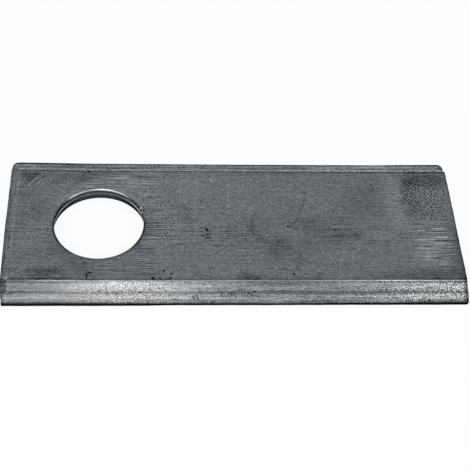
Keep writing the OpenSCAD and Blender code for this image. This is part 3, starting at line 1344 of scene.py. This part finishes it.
@dataclass(frozen=True)
class BorePaintedLight:
    """How the bore looks: a painted highlight on its rim at the rear side, over a wall of painted shade
    with a paler painted band.

    The courses around the bore read degrees from the rear, rising to the right.
    """

    sizes: BladeSizes
    # The rim's painted highlight, by degrees from the rear
    lit: Course = Course(-0.6, humps=((3.0, 4.0, 16.0), (2.3, -34.0, 14.0), (1.8, 30.0, 13.0)))
    # The rim by its depth under the face
    rim: Course = Course(steps=((1.0, 0.4, 0.25),))
    # The wall's painted shade
    wall_shade: float = -0.7
    # The paler painted band: its brightness around the bore, its height and its widths below and above
    band: Course = Course(0.7, steps=((0.8, 40.0, 60.0),))
    band_height: float = 1.75
    band_widths: tuple[float, float] = (0.46, 0.27)
    # A painted glint on the right, around the bore and by height
    glint: Course = Course(humps=((1.1, 58.0, 16.0),))
    glint_height: Course = Course(humps=((1.0, 2.0, 0.35),))

    def tone(self, rings: Array) -> Array:
        """Tone of the rim's painted highlight where the rim is, and of the wall's painted shade below.

        Args:
            rings: the bore's points, rings by places by three.

        Returns:
            The change of tone, as a share.
        """
        x, y, z = np.moveaxis(rings, 2, 0)
        from_rear = np.degrees(np.arctan2(x, y))
        band = self.band.at(np.abs(from_rear)) * lopsided(z, self.band_height, *self.band_widths)
        wall = self.wall_shade + band + self.glint.at(from_rear) * self.glint_height.at(z)
        on_rim = self.rim.at(self.sizes.thickness - z)
        return on_rim * self.lit.at(from_rear) + (1.0 - on_rim) * wall


@dataclass
class Blade:
    """The whole blade as one closed mesh.

    The upper face is a grid of lines along and across the bar. A square block of the grid around
    the bore is bent so that its inner square becomes the bore's round rim. The underside is the
    same grid laid flat, and rings of points join the two around the outline and down the bore.
    """

    sizes: BladeSizes
    name: str = "blade_bar"
    # The grid: its pitch, the half sides of the bent block and its core, and its closer lines
    face_pitch: float = 0.34
    bevel_pitch: float = 0.26
    block: float = 13.5
    core: float = 7.5
    bore_end_line: float = 0.15
    free_end_line: float = 0.2
    edge_rows: tuple[float, ...] = (0.0, 0.015, 0.06, 0.14, 0.26, 0.42, 0.62, 0.85, 1.1, 1.35)
    step_rows: tuple[float, ...] = (-0.07, 0.07)
    ridge_rows: tuple[float, ...] = (-0.35, -0.14, -0.05, 0.0, 0.05, 0.14, 0.35)
    # Rounded and softened borders
    edge_round: float = 0.12
    foot_round: float = 0.06
    round_turns: tuple[float, ...] = (30.0, 60.0, 90.0)
    ridge_blend: float = 0.045
    step_blend: float = 0.02
    least_corner: float = 0.02
    corner_reach: float = 4.0
    # The outline's unevenness, and where its departures from a straight bar lie
    bore_end_wobble: Ripple = Ripple(0.04, (23.0, 9.0, 4.0), seed=5)
    bore_end_bulge: Course = Course(humps=((1.0, -1.0, 8.0),))
    bore_end_foot: Course = Course(steps=((1.0, 0.2, -0.6),))
    free_end_wobble: Ripple = Ripple(0.05, (17.0, 7.0, 2.6), seed=6)
    free_end_hollow: Course = Course(humps=((1.0, 0.9, 0.8),))
    edge_wobble: Ripple = Ripple(0.03, (31.0, 12.0, 5.0), seed=7)
    rear_tip: Course = Course(steps=((1.0, 0.65, 1.0),))
    ridge_tips: Course = Course(steps=((1.0, 0.6, 0.9),))
    ridge_tip_margin: float = 0.3
    front_bulge: Course = Course(steps=((1.0, 16.0, 6.0),))
    ridge_chips: Ripple = Ripple(0.05, (3.1, 1.3, 0.9), seed=11)
    chipped: Course = Course(humps=((1.0, 14.0, 9.0),))
    pit_dent: float = 0.05
    # The sheared wall: its rings as shares of its height, and how its lower part tore
    wall_shares: tuple[float, ...] = (0.2, 0.36, 0.5, 0.75, 1.0)
    wall_tear: float = 0.02
    wall_tear_mean: float = 1.2
    wall_tear_uneven: Ripple = Ripple(1.0, (2.7, 1.1, 0.8), seed=13)
    wall_tear_from: Course = Course(steps=((1.0, 0.3, 0.6),))
    # How much darker the long lands are than the ends
    land_darkening: Course = Course(steps=((-0.9, 0.6, 0.3),))
    # The bore: its rim around it and in section, then its wall
    rim_mean: float = 0.62
    rim_swing: float = 0.38
    rim_uneven: Ripple = Ripple(0.12, (11.0, 4.3, 2.1), seed=3)
    rim_in: tuple[float, ...] = (0.12, 0.5, 0.9, 1.0)
    rim_down: tuple[float, ...] = (0.05, 0.42, 0.85, 1.1)
    bore_wall_rings: int = 12
    bore_tear_uneven: Ripple = Ripple(0.02, (1.7, 0.9, 0.6), seed=17)
    bore_tear_from: Course = Course(steps=((1.0, 0.35, 0.75),))
    underside_brush: float = 0.3

    def columns(self) -> Array:
        """Places of the grid's lines along the blade, with lines beside the ends and the roll.

        Returns:
            The places in rising order.
        """
        s = self.sizes
        first = s.bore_end + self.edge_round
        last = s.free_end - self.edge_round
        bore_end = [first, first + self.bore_end_line]
        roll = [s.roll_start - self.bore_end_line, s.roll_start + self.bore_end_line]
        bore = [-self.block, -self.core, self.core, self.block]
        return lines_between([*bore_end, *roll, *bore, last - self.free_end_line, last], self.face_pitch)

    def rows(self) -> Array:
        """Places of the grid's lines across the blade, closer at the ridges and the edges.

        Returns:
            The places in rising order.
        """
        s = self.sizes
        near_edge = [self.edge_round + d for d in self.edge_rows]
        near_step = [line + d for line in (s.step_to_edge, s.step_end) for d in self.step_rows]
        near_ridge = [s.bevel_width + d for d in self.ridge_rows]
        inward = [*near_edge, *near_step, *near_ridge, s.edge - self.block]
        front = lines_between(inward, self.bevel_pitch) - s.edge
        middle = lines_between([-self.block, -self.core, self.core, self.block], self.face_pitch)
        return np.concatenate([front[:-1], middle, -front[::-1][1:]])

    def corner_inset(self, y: Array, rear: float, front: float) -> Array:
        """How far an end is set in at each row, so that its two corners are round.

        Near a corner of radius r, at a distance d from the long edge, it is r - sqrt(r^2 - (r - d)^2).

        Args:
            y: places across the blade.
            rear: radius of the corner at the rear edge.
            front: radius of the corner at the front edge.

        Returns:
            The inset at each place.
        """
        inset = np.zeros_like(y)
        for radius, side in ((rear, 1.0), (front, -1.0)):
            r = max(radius - self.edge_round, self.least_corner)
            d = np.clip(self.sizes.edge - self.edge_round - side * y, 0.0, r)
            inset += r - np.sqrt(r * r - (r - d) ** 2)
        return inset

    def bend_round_bore(self, x: Array, y: Array) -> tuple[Array, Array]:
        """Bends the square block of the grid around the bore.

        A point on the square ring of half side m goes to the ring's share t of the way from the
        core to the block, on a shape between a circle (t = 0) and the square itself (t = 1).

        Args:
            x: places of the grid's points along the blade.
            y: places of the grid's points across the blade.

        Returns:
            The bent places.
        """
        m = np.maximum(np.abs(x), np.abs(y))
        ring = np.maximum(m, TINY)
        t = np.clip((m - self.core) / (self.block - self.core), 0.0, 1.0)
        qx, qy = x / ring, y / ring
        reach = np.maximum(np.hypot(qx, qy), TINY)
        rim = self.sizes.bore_radius - self.sizes.bore_draw + self.rim_width(np.arctan2(qy, qx))
        radius = rim + (self.block - rim) * t
        shape = (1.0 - t) / reach + t
        bent = (m >= self.core - TINY) & (m < self.block)
        return np.where(bent, radius * shape * qx, x), np.where(bent, radius * shape * qy, y)

    def rim_width(self, angle: Array) -> Array:
        """Width of the bore's broken rim around the bore: widest at the rear, and a little uneven."""
        uneven = 1.0 + self.rim_uneven.at(angle * self.sizes.bore_radius)
        return self.sizes.bore_rim * uneven * (self.rim_mean + self.rim_swing * np.sin(angle))

    def along(self, x: Array) -> Array:
        """Place along the blade from its middle, as a share: -1 at the bore end, 1 at the free end."""
        middle = (self.sizes.bore_end + self.sizes.free_end) / 2
        return (x - middle) / (self.sizes.free_end - middle)

    def ridge_tip(self, x: Array) -> Array:
        """How far the rear ridge runs out towards its edge at each place: only near the two ends."""
        return self.sizes.rear_ridge_tip * self.ridge_tips.at(np.abs(self.along(x)))

    def inward(self, x: Array, y: Array) -> Array:
        """Distance from the cutting edge in plan, so that the ridges lie at one bevel width."""
        return self.sizes.edge - np.abs(y) + np.where(y > 0, self.ridge_tip(x), 0.0)

    def bore_end_inset(self, y: Array) -> Array:
        """How far the bore end is set in at each row: round corners, a bulge and a set-in front foot.

        Args:
            y: places across the blade.

        Returns:
            The inset at each place.
        """
        s = self.sizes
        inset = self.corner_inset(y, s.bore_end_rear_corner, s.bore_end_front_corner)
        inset += self.bore_end_wobble.at(y) - s.bore_end_bulge * self.bore_end_bulge.at(y)
        return inset + s.bore_end_foot_inset * self.bore_end_foot.at(s.edge + y - s.step_to_edge)

    def free_end_inset(self, y: Array) -> Array:
        """How far the free end is set in: round corners, a bulge, a front flare and a rear hollow.

        Args:
            y: places across the blade.

        Returns:
            The inset at each place.
        """
        s = self.sizes
        inset = self.corner_inset(y, s.free_end_rear_corner, s.free_end_front_corner)
        inset += self.free_end_wobble.at(y) - s.free_end_bulge
        inset -= s.free_end_flare * ease(s.ridge, s.edge, -y)
        return inset + s.free_end_hollow * self.free_end_hollow.at(y - s.ridge)

    def edge_shift(self, x: Array, y: Array) -> Array:
        """How far each point moves across the blade, so that the long edges have their true line.

        The rear bevel's rows bow inwards at mid length, by 1 less the square of the place along, and
        flare out at the ends. The front edge bulges at the bore end. Both are a little uneven.

        Args:
            x: places along the blade.
            y: places across the blade on the straight grid.

        Returns:
            The move towards the rear at each point.
        """
        s = self.sizes
        along = self.along(x)
        bow = s.rear_edge_bow * (1.0 - along**2) - s.rear_edge_flare
        bow -= s.rear_edge_tip * self.rear_tip.at(np.abs(along))
        to_rear, to_front = ease(s.ridge, s.edge, y), ease(s.ridge, s.edge, -y)
        near_ridge = ease(self.block, s.ridge - self.ridge_tip_margin, y) * (1.0 - to_rear)
        rear = self.ridge_tip(x) * near_ridge - bow * to_rear
        bulge = s.front_edge_bulge * self.front_bulge.at(x) * to_front
        return rear - bulge + self.edge_wobble.at(x) * (to_rear + to_front)

    def plan(self) -> tuple[Array, Array]:
        """Places of the upper grid's points, with its ends, edges and bore in their true outline.

        Each end's inset fades out within corner_reach of it, by the square of the share left.

        Returns:
            Places along and across the blade, each as an array of columns by rows.
        """
        s = self.sizes
        flat_x, flat_y = np.meshgrid(self.columns(), self.rows(), indexing="ij")
        x, y = self.bend_round_bore(flat_x, flat_y)
        fade_in = np.clip(1.0 - (x - s.bore_end) / self.corner_reach, 0.0, 1.0) ** 2
        fade_out = np.clip(1.0 - (s.free_end - x) / self.corner_reach, 0.0, 1.0) ** 2
        inset = self.bore_end_inset(flat_y) * fade_in - self.free_end_inset(flat_y) * fade_out
        return x + inset, y + self.edge_shift(x, flat_y)

    def section(self, inward: Array) -> Array:
        """Height of the ground face at a distance inward from the edge, the same on both sides.

        The lower grind, the step and the upper grind are straight lines, joined by a rounded lower
        of, then higher of, and the flat face closes them from above at the ridge.

        Args:
            inward: distance from the cutting edge, in plan.

        Returns:
            The height at each distance.
        """
        s = self.sizes
        low = s.edge_land + s.slope * inward
        tread = s.edge_land + s.slope * s.step_to_edge
        tread = tread + (inward - s.step_to_edge) * s.step_fall / s.step_width
        high = low - s.slope * s.step_width + s.step_fall
        ground = soft_max(soft_min(low, tread, self.step_blend), high, self.step_blend)
        return soft_min(ground, np.full_like(inward, s.thickness), self.ridge_blend)

    def height(self, x: Array, y: Array) -> Array:
        """Height of the upper face.

        From the section it takes the roll at the bore end, R - sqrt(R^2 - t^2) at a distance t into
        the rolled band, which narrows towards the edges, and the dents of the pits.

        Args:
            x: places along the blade.
            y: places across the blade.

        Returns:
            The height at each place.
        """
        s = self.sizes
        ragged = self.ridge_chips.at(x) * self.chipped.at(x)
        inward = self.inward(x, y) + np.where(y < 0, ragged, 0.0)
        band = s.roll_length_at_edge
        band = band + (s.roll_length - band) * ease(0.0, s.step_end, inward)
        into = np.clip(s.bore_end + band - x, 0.0, s.roll_radius)
        roll = s.roll_radius - np.sqrt(s.roll_radius**2 - into**2)
        dents = self.pit_dent * np.clip(total(FACE_PITS, x, y), -1.0, 0.0)
        return self.section(inward) - roll + dents

    def fields(self, x: Array, y: Array) -> dict[Field, Array]:
        """Values at the upper face's points that its finishes read.

        Args:
            x: places along the blade.
            y: places across the blade.

        Returns:
            Each value at each point.
        """
        s = self.sizes
        face, front, rear = FaceWearAndLight(s), FrontBevelWearAndLight(s), RearBevelWearAndLight(s)
        inward = self.inward(x, y)
        past_ridge = inward - s.bevel_width
        on_face = past_ridge > -TINY
        tone = face.tone(x, y, past_ridge)
        bevel_tone = np.where(y < 0, front.tone(x, inward), rear.tone(x, inward))
        bevel_clean = np.where(y > 0, rear.clean(x, inward), front.clean(x, inward))
        values = {kind: strongest(marks, *face.moved(x, y)) for kind, marks in FACE_PATTERNS.items()}
        values[Field.TONE] = np.where(on_face, tone, bevel_tone)
        values[Field.CLEAN] = np.clip(np.where(on_face, face.clean(tone), bevel_clean), 0.0, 1.0)
        values[Field.BRUSH] = np.where(on_face, values[Field.BRUSH], front.lines.at(x))
        values[Field.GRAIN] = front.grain(x, inward)
        values[Field.ROLLED] = face.rolled.at(x - s.roll_start)
        values[Field.SPECKS] = front.specks(x, inward)
        return values

    def wall_tone(self, rings: Array) -> Array:
        """Tone of the outer wall: the long lands are darker than the ends."""
        return self.land_darkening.at(self.sizes.edge - np.abs(rings[..., 1]))

    @staticmethod
    def ring_index(grid: Index, first: int, last: int, low: int, high: int) -> Index:
        """Numbers of the points around a rectangle of the grid, anticlockwise from above.

        Args:
            grid: numbers of the grid's points, columns by rows.
            first: the rectangle's first column.
            last: its last column.
            low: its first row.
            high: its last row.

        Returns:
            The numbers in order, each once.
        """
        return np.concatenate(
            [
                grid[first:last, low],
                grid[last, low:high],
                grid[last:first:-1, high],
                grid[first, high:low:-1],
            ]
        )

    @staticmethod
    def outward(line: Array) -> Array:
        """Way out of the blade in plan along a closed line: its tangent turned clockwise.

        Args:
            line: the line's points in plan, anticlockwise.

        Returns:
            A direction of length 1 at each point.
        """
        tangent = np.roll(line, -1, axis=0) - np.roll(line, 1, axis=0)
        normal = np.stack([tangent[:, 1], -tangent[:, 0]], axis=1)
        return normal / np.linalg.norm(normal, axis=1, keepdims=True)

    def outer_rings(self, line: Array, normal: Array) -> Array:
        """Rings of points down the outer wall, below the upper face's border.

        First a quarter round of radius edge_round: out by r sin(a) and down by r (1 - cos(a)). Then
        the sheared wall, which falls back a little in its torn lower part.

        Args:
            line: the border's points.
            normal: the way out at each point, in plan.

        Returns:
            Points as an array of rings by places by three.
        """
        r = self.edge_round
        turn = np.radians(self.round_turns)[:, None]
        out = r * np.sin(turn) + np.zeros(len(line))
        top = line[:, 2] - r * (1.0 - np.cos(turn))
        share = np.array(self.wall_shares)[:, None]
        foot = top[-1] + (self.foot_round - top[-1]) * share
        around = np.cumsum(np.linalg.norm(line - np.roll(line, 1, axis=0), axis=1))
        uneven = self.wall_tear_mean + self.wall_tear_uneven.at(around)
        torn = self.wall_tear * line[:, 2] * self.wall_tear_from.at(share) * uneven
        out = np.concatenate([out, r - torn])
        height = np.concatenate([top, foot])
        place = line[None, :, :2] + out[..., None] * normal[None]
        return np.concatenate([place, height[..., None]], axis=2)

    def bore_rings(self, line: Array) -> Array:
        """Rings of points down the bore, below its rim on the upper face.

        The rim is a chamfer with softened borders. The wall is a cylinder, drawn in a little where
        the punch cut, and wider and uneven where the metal tore below.

        Args:
            line: the rim's points.

        Returns:
            Points as an array of rings by places by three.
        """
        s = self.sizes
        angle = np.arctan2(line[:, 1], line[:, 0])
        land = s.bore_radius - s.bore_draw
        rim = np.hypot(line[:, 0], line[:, 1]) - land
        chamfer_r = land + rim * (1.0 - np.array(self.rim_in)[:, None])
        chamfer_z = line[:, 2] - rim * np.array(self.rim_down)[:, None]
        share = np.linspace(0.0, 1.0, self.bore_wall_rings + 1)[1:, None]
        wall_z = chamfer_z[-1] + (self.foot_round - chamfer_z[-1]) * share
        tear = s.bore_draw + s.bore_tear + (s.bore_tear_beside - s.bore_tear) * np.cos(angle) ** 2
        tear += self.bore_tear_uneven.at(angle * s.bore_radius)
        wall_r = land + tear * self.bore_tear_from.at(share)
        radius = np.concatenate([chamfer_r, wall_r])
        height = np.concatenate([chamfer_z, wall_z])
        return np.stack([radius * np.cos(angle), radius * np.sin(angle), height], axis=2)

    def face_zones(self, columns: Array, rows: Array) -> tuple[npt.NDArray[np.bool_], Index]:
        """Which cells of the upper grid are steel and not bore, and the zone of each cell.

        Args:
            columns: places of the grid's lines along the blade.
            rows: places of the grid's lines across the blade.

        Returns:
            Whether a cell is steel, and its zone, each as columns by rows of cells.
        """
        middle_x = (columns[:-1] + columns[1:]) / 2
        middle_y = (rows[:-1] + rows[1:]) / 2
        solid = np.maximum.outer(np.abs(middle_x), np.abs(middle_y)) > self.core
        zone = np.where(middle_y > 0, Zone.REAR_BEVEL, Zone.FRONT_BEVEL)
        zone = np.where(np.abs(middle_y) > self.sizes.ridge, zone, Zone.FACE)
        return solid, np.broadcast_to(zone, solid.shape)

    def build(self) -> bpy.types.Object:
        """Makes the blade's mesh, with its zones and the values that the finishes read.

        Returns:
            The blade's object, at the origin.
        """
        columns, rows = self.columns(), self.rows()
        x, y = self.plan()
        upper = np.stack([x, y, self.height(x, y)], axis=2).reshape(-1, 3)
        lower = upper * (1.0, 1.0, 0.0)
        grid = np.arange(x.size).reshape(x.shape)

        span = (np.abs(columns) < self.core + TINY).nonzero()[0]
        cross = (np.abs(rows) < self.core + TINY).nonzero()[0]
        rim = self.ring_index(grid, span[0], span[-1], cross[0], cross[-1])
        border = self.ring_index(grid, 0, len(columns) - 1, 0, len(rows) - 1)
        normal = self.outward(upper[border, :2])
        wall = self.outer_rings(upper[border], normal)
        bore = self.bore_rings(upper[rim])
        lower[border, :2] = wall[-1, :, :2] - self.foot_round * normal
        lower[rim, :2] = bore[-1, :, :2] * (1.0 + self.foot_round / self.sizes.bore_radius)

        points = np.concatenate([upper, lower, wall.reshape(-1, 3), bore.reshape(-1, 3)])
        wall_at = 2 * x.size + np.arange(wall[..., 0].size).reshape(wall.shape[:2])
        bore_at = wall_at[-1, -1] + 1 + np.arange(bore[..., 0].size).reshape(bore.shape[:2])
        cells = np.stack([grid[:-1, :-1], grid[1:, :-1], grid[1:, 1:], grid[:-1, 1:]], axis=2)
        solid, zone = self.face_zones(columns, rows)
        groups = (
            (cells[solid], zone[solid]),
            ((cells[solid] + x.size)[:, ::-1], Zone.FACE),
            (self.band(np.vstack([border, wall_at, border + x.size])), Zone.SHEAR),
            (self.band(np.vstack([rim, bore_at, rim + x.size]))[:, ::-1], Zone.BORE),
        )
        quads = np.concatenate([faces for faces, _ in groups])
        zones = np.concatenate([np.broadcast_to(kind, len(faces)) for faces, kind in groups])

        values = {kind: np.zeros(len(points)) for kind in Field}
        for kind, value in self.fields(x, y).items():
            values[kind][: x.size] = value.ravel()
        values[Field.BRUSH][x.size : 2 * x.size] = self.underside_brush
        values[Field.TONE][bore_at.ravel()] = BorePaintedLight(self.sizes).tone(bore).ravel()
        values[Field.TONE][wall_at.ravel()] = self.wall_tone(wall).ravel()
        return self.to_object(points, quads, zones, values)

    @staticmethod
    def band(rows: Index) -> Index:
        """Faces between closed rings of points: each joins a place and the next on two rings.

        Args:
            rows: numbers of the points, rings by places, from the top ring down.

        Returns:
            Four point numbers a face, facing out where the rings run anticlockwise from above.
        """
        after = np.roll(rows, -1, axis=1)
        faces = np.stack([rows[:-1], rows[1:], after[1:], after[:-1]], axis=2)
        return faces.reshape(-1, 4)

    def to_object(
        self, points: Array, quads: Index, zones: Index, values: Mapping[Field, Array]
    ) -> bpy.types.Object:
        """Puts the arrays into a mesh object, leaving out points that no face uses.

        Args:
            points: places in millimetres.
            quads: four point numbers a face.
            zones: each face's zone.
            values: what each point carries.

        Returns:
            The object, linked to the scene.
        """
        used, packed = np.unique(quads, return_inverse=True)
        faces = packed.reshape(quads.shape)
        mesh = bpy.data.meshes.new(self.name)
        mesh.from_pydata((points[used] * MM).tolist(), [], faces.tolist())
        mesh.polygons.foreach_set("material_index", zones.astype(np.int32))
        for kind, value in values.items():
            layer = mesh.attributes.new(kind.value, "FLOAT", "POINT")
            layer.data.foreach_set("value", value[used].astype(np.float32))
        mesh.shade_smooth()
        mesh.update()
        blade = bpy.data.objects.new(self.name, mesh)
        bpy.context.scene.collection.objects.link(blade)
        return blade

    @staticmethod
    def dress(blade: bpy.types.Object) -> None:
        """Gives each zone its finish, in the order of Zone."""
        for finish in (FACE_STEEL, FRONT_STEEL, REAR_STEEL, SHEAR_STEEL, BORE_STEEL):
            blade.data.materials.append(finish.build())


@dataclass(frozen=True)
class SoftBox:
    """A lamp that faces the blade: the way to it, its distance, width, height and brightness."""

    name: str
    towards: tuple[float, float, float]
    distance: float
    width: float
    height: float
    radiance: float

    def build(self, centre: Vector) -> None:
        """Makes the lamp. Its power is radiance times pi times its area.

        Args:
            centre: the point that it faces, in metres.
        """
        lamp = bpy.data.lights.new(self.name, "AREA")
        lamp.shape = "RECTANGLE"
        lamp.size = self.width
        lamp.size_y = self.height
        lamp.energy = self.radiance * math.pi * self.width * self.height
        box = bpy.data.objects.new(self.name, lamp)
        way = Vector(self.towards).normalized()
        box.location = centre + way * self.distance
        box.rotation_euler = way.to_track_quat("Z", "Y").to_euler()
        bpy.context.scene.collection.objects.link(box)


@dataclass
class Studio:
    """White floor, one soft strip lamp, a pale sky and the camera, where the photograph's stood.

    The eye is in millimetres in the blade's frame, angles are in degrees, and the floor's drop under
    the blade is in millimetres. The floor's side and the lamps are in metres.
    """

    centre: Vector
    eye: tuple[float, float, float] = (12.41, -153.99, 190.06)
    azimuth: float = 6.155
    elevation: float = 50.96
    roll: float = 4.89
    focal_pixels: float = 1140.56
    frame_pixels: float = 470.0
    sensor: float = 36.0
    floor_side: float = 6.0
    floor_drop: float = 0.05
    floor_glow: float = 0.9
    sky_low: float = 0.5
    sky_high: float = 0.66
    boxes: tuple[SoftBox, ...] = (SoftBox("front_strip", (0.0, -0.78, 0.62), 0.6, 2.4, 0.34, 2.4),)

    def build_camera(self) -> None:
        """Sets the camera from its place, direction and roll.

        Forward is (sin a cos e, cos a cos e, -sin e) for azimuth a and elevation e, and the roll
        turns the level right and up directions about it.
        """
        a, e, roll = (math.radians(v) for v in (self.azimuth, self.elevation, self.roll))
        forward = Vector((math.sin(a) * math.cos(e), math.cos(a) * math.cos(e), -math.sin(e)))
        level = Vector((math.cos(a), -math.sin(a), 0.0))
        right = level * math.cos(roll) + level.cross(forward) * math.sin(roll)
        up = right.cross(forward)
        lens = bpy.data.cameras.new("photo_camera")
        lens.sensor_width = self.sensor
        lens.lens = self.focal_pixels * self.sensor / self.frame_pixels
        lens.clip_start = 0.01
        camera = bpy.data.objects.new("photo_camera", lens)
        turn = Matrix((right, up, -forward)).transposed()
        camera.matrix_world = Matrix.Translation(Vector(self.eye) * MM) @ turn.to_4x4()
        bpy.context.scene.collection.objects.link(camera)
        bpy.context.scene.camera = camera

    def build_floor(self) -> None:
        """Makes the floor, one level square just under the blade."""
        half = self.floor_side / 2
        corners = [(-half, -half), (half, -half), (half, half), (-half, half)]
        mesh = bpy.data.meshes.new("floor")
        mesh.from_pydata([(x, y, -self.floor_drop * MM) for x, y in corners], [], [(0, 1, 2, 3)])
        floor = bpy.data.objects.new("floor", mesh)
        bpy.context.scene.collection.objects.link(floor)
        mesh.materials.append(self.floor_paper())

    def floor_paper(self) -> bpy.types.Material:
        """White paper that keeps the blade's shadow and shows as white to the eye and in the steel.

        Returns:
            The material.
        """
        material = bpy.data.materials.new("white_paper")
        material.use_nodes = True
        tree = material.node_tree
        tree.nodes.clear()
        paper = add(tree, "ShaderNodeBsdfDiffuse", {"Color": linear("#FAFAFA")}).outputs[0]
        glow = add(tree, "ShaderNodeEmission", {"Color": linear("#FFFFFF"), "Strength": 1.0}).outputs[0]
        rays = add(tree, "ShaderNodeLightPath").outputs
        seen = rays["Is Camera Ray"]
        for other in ("Is Glossy Ray", "Is Transmission Ray"):
            both = {0: seen, 1: rays[other]}
            seen = add(tree, "ShaderNodeMath", {"operation": "MAXIMUM"}, both).outputs[0]
        part = {"operation": "MULTIPLY", 1: self.floor_glow}
        share = add(tree, "ShaderNodeMath", part, {0: seen}).outputs[0]
        mixed = add(tree, "ShaderNodeMixShader", links={0: share, 1: paper, 2: glow}).outputs[0]
        add(tree, "ShaderNodeOutputMaterial", links={"Surface": mixed})
        return material

    def build_sky(self) -> None:
        """Makes the sky: a soft grey that brightens from the horizon to straight up."""
        world = bpy.data.worlds.new("studio_sky")
        world.use_nodes = True
        tree = world.node_tree
        tree.nodes.clear()
        way = add(tree, "ShaderNodeTexCoord").outputs["Generated"]
        height = add(tree, "ShaderNodeSeparateXYZ", links={0: way}).outputs["Z"]
        ramp = {"From Min": 0.0, "From Max": 1.0, "To Min": self.sky_low, "To Max": self.sky_high}
        strength = add(tree, "ShaderNodeMapRange", ramp, {"Value": height}).outputs[0]
        sky = add(tree, "ShaderNodeBackground", {"Color": linear("#FFFFFF")}, {"Strength": strength})
        add(tree, "ShaderNodeOutputWorld", links={"Surface": sky.outputs[0]})
        bpy.context.scene.world = world

    def build(self) -> None:
        """Makes the camera, floor, lamps and sky, and sets the plain view transform."""
        self.build_camera()
        self.build_floor()
        for box in self.boxes:
            box.build(self.centre)
        self.build_sky()
        bpy.context.scene.view_settings.view_transform = "Standard"


def main() -> None:
    """Builds the studio and the blade, and reports each piece."""
    logging.basicConfig(level=logging.INFO, format="%(name)s: %(message)s")
    low, high = CAD_BOX
    Studio(centre=(Vector(low) + Vector(high)) / 2).build()
    blade = Blade(BladeSizes.from_frame(NODE, PIVOT))
    piece = blade.build()
    blade.dress(piece)
    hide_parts(NODE)
    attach(piece, "root")
    LOG.info("%s: %d points, %d faces", piece.name, len(piece.data.vertices), len(piece.data.polygons))


if __name__ == "__main__":
    main()
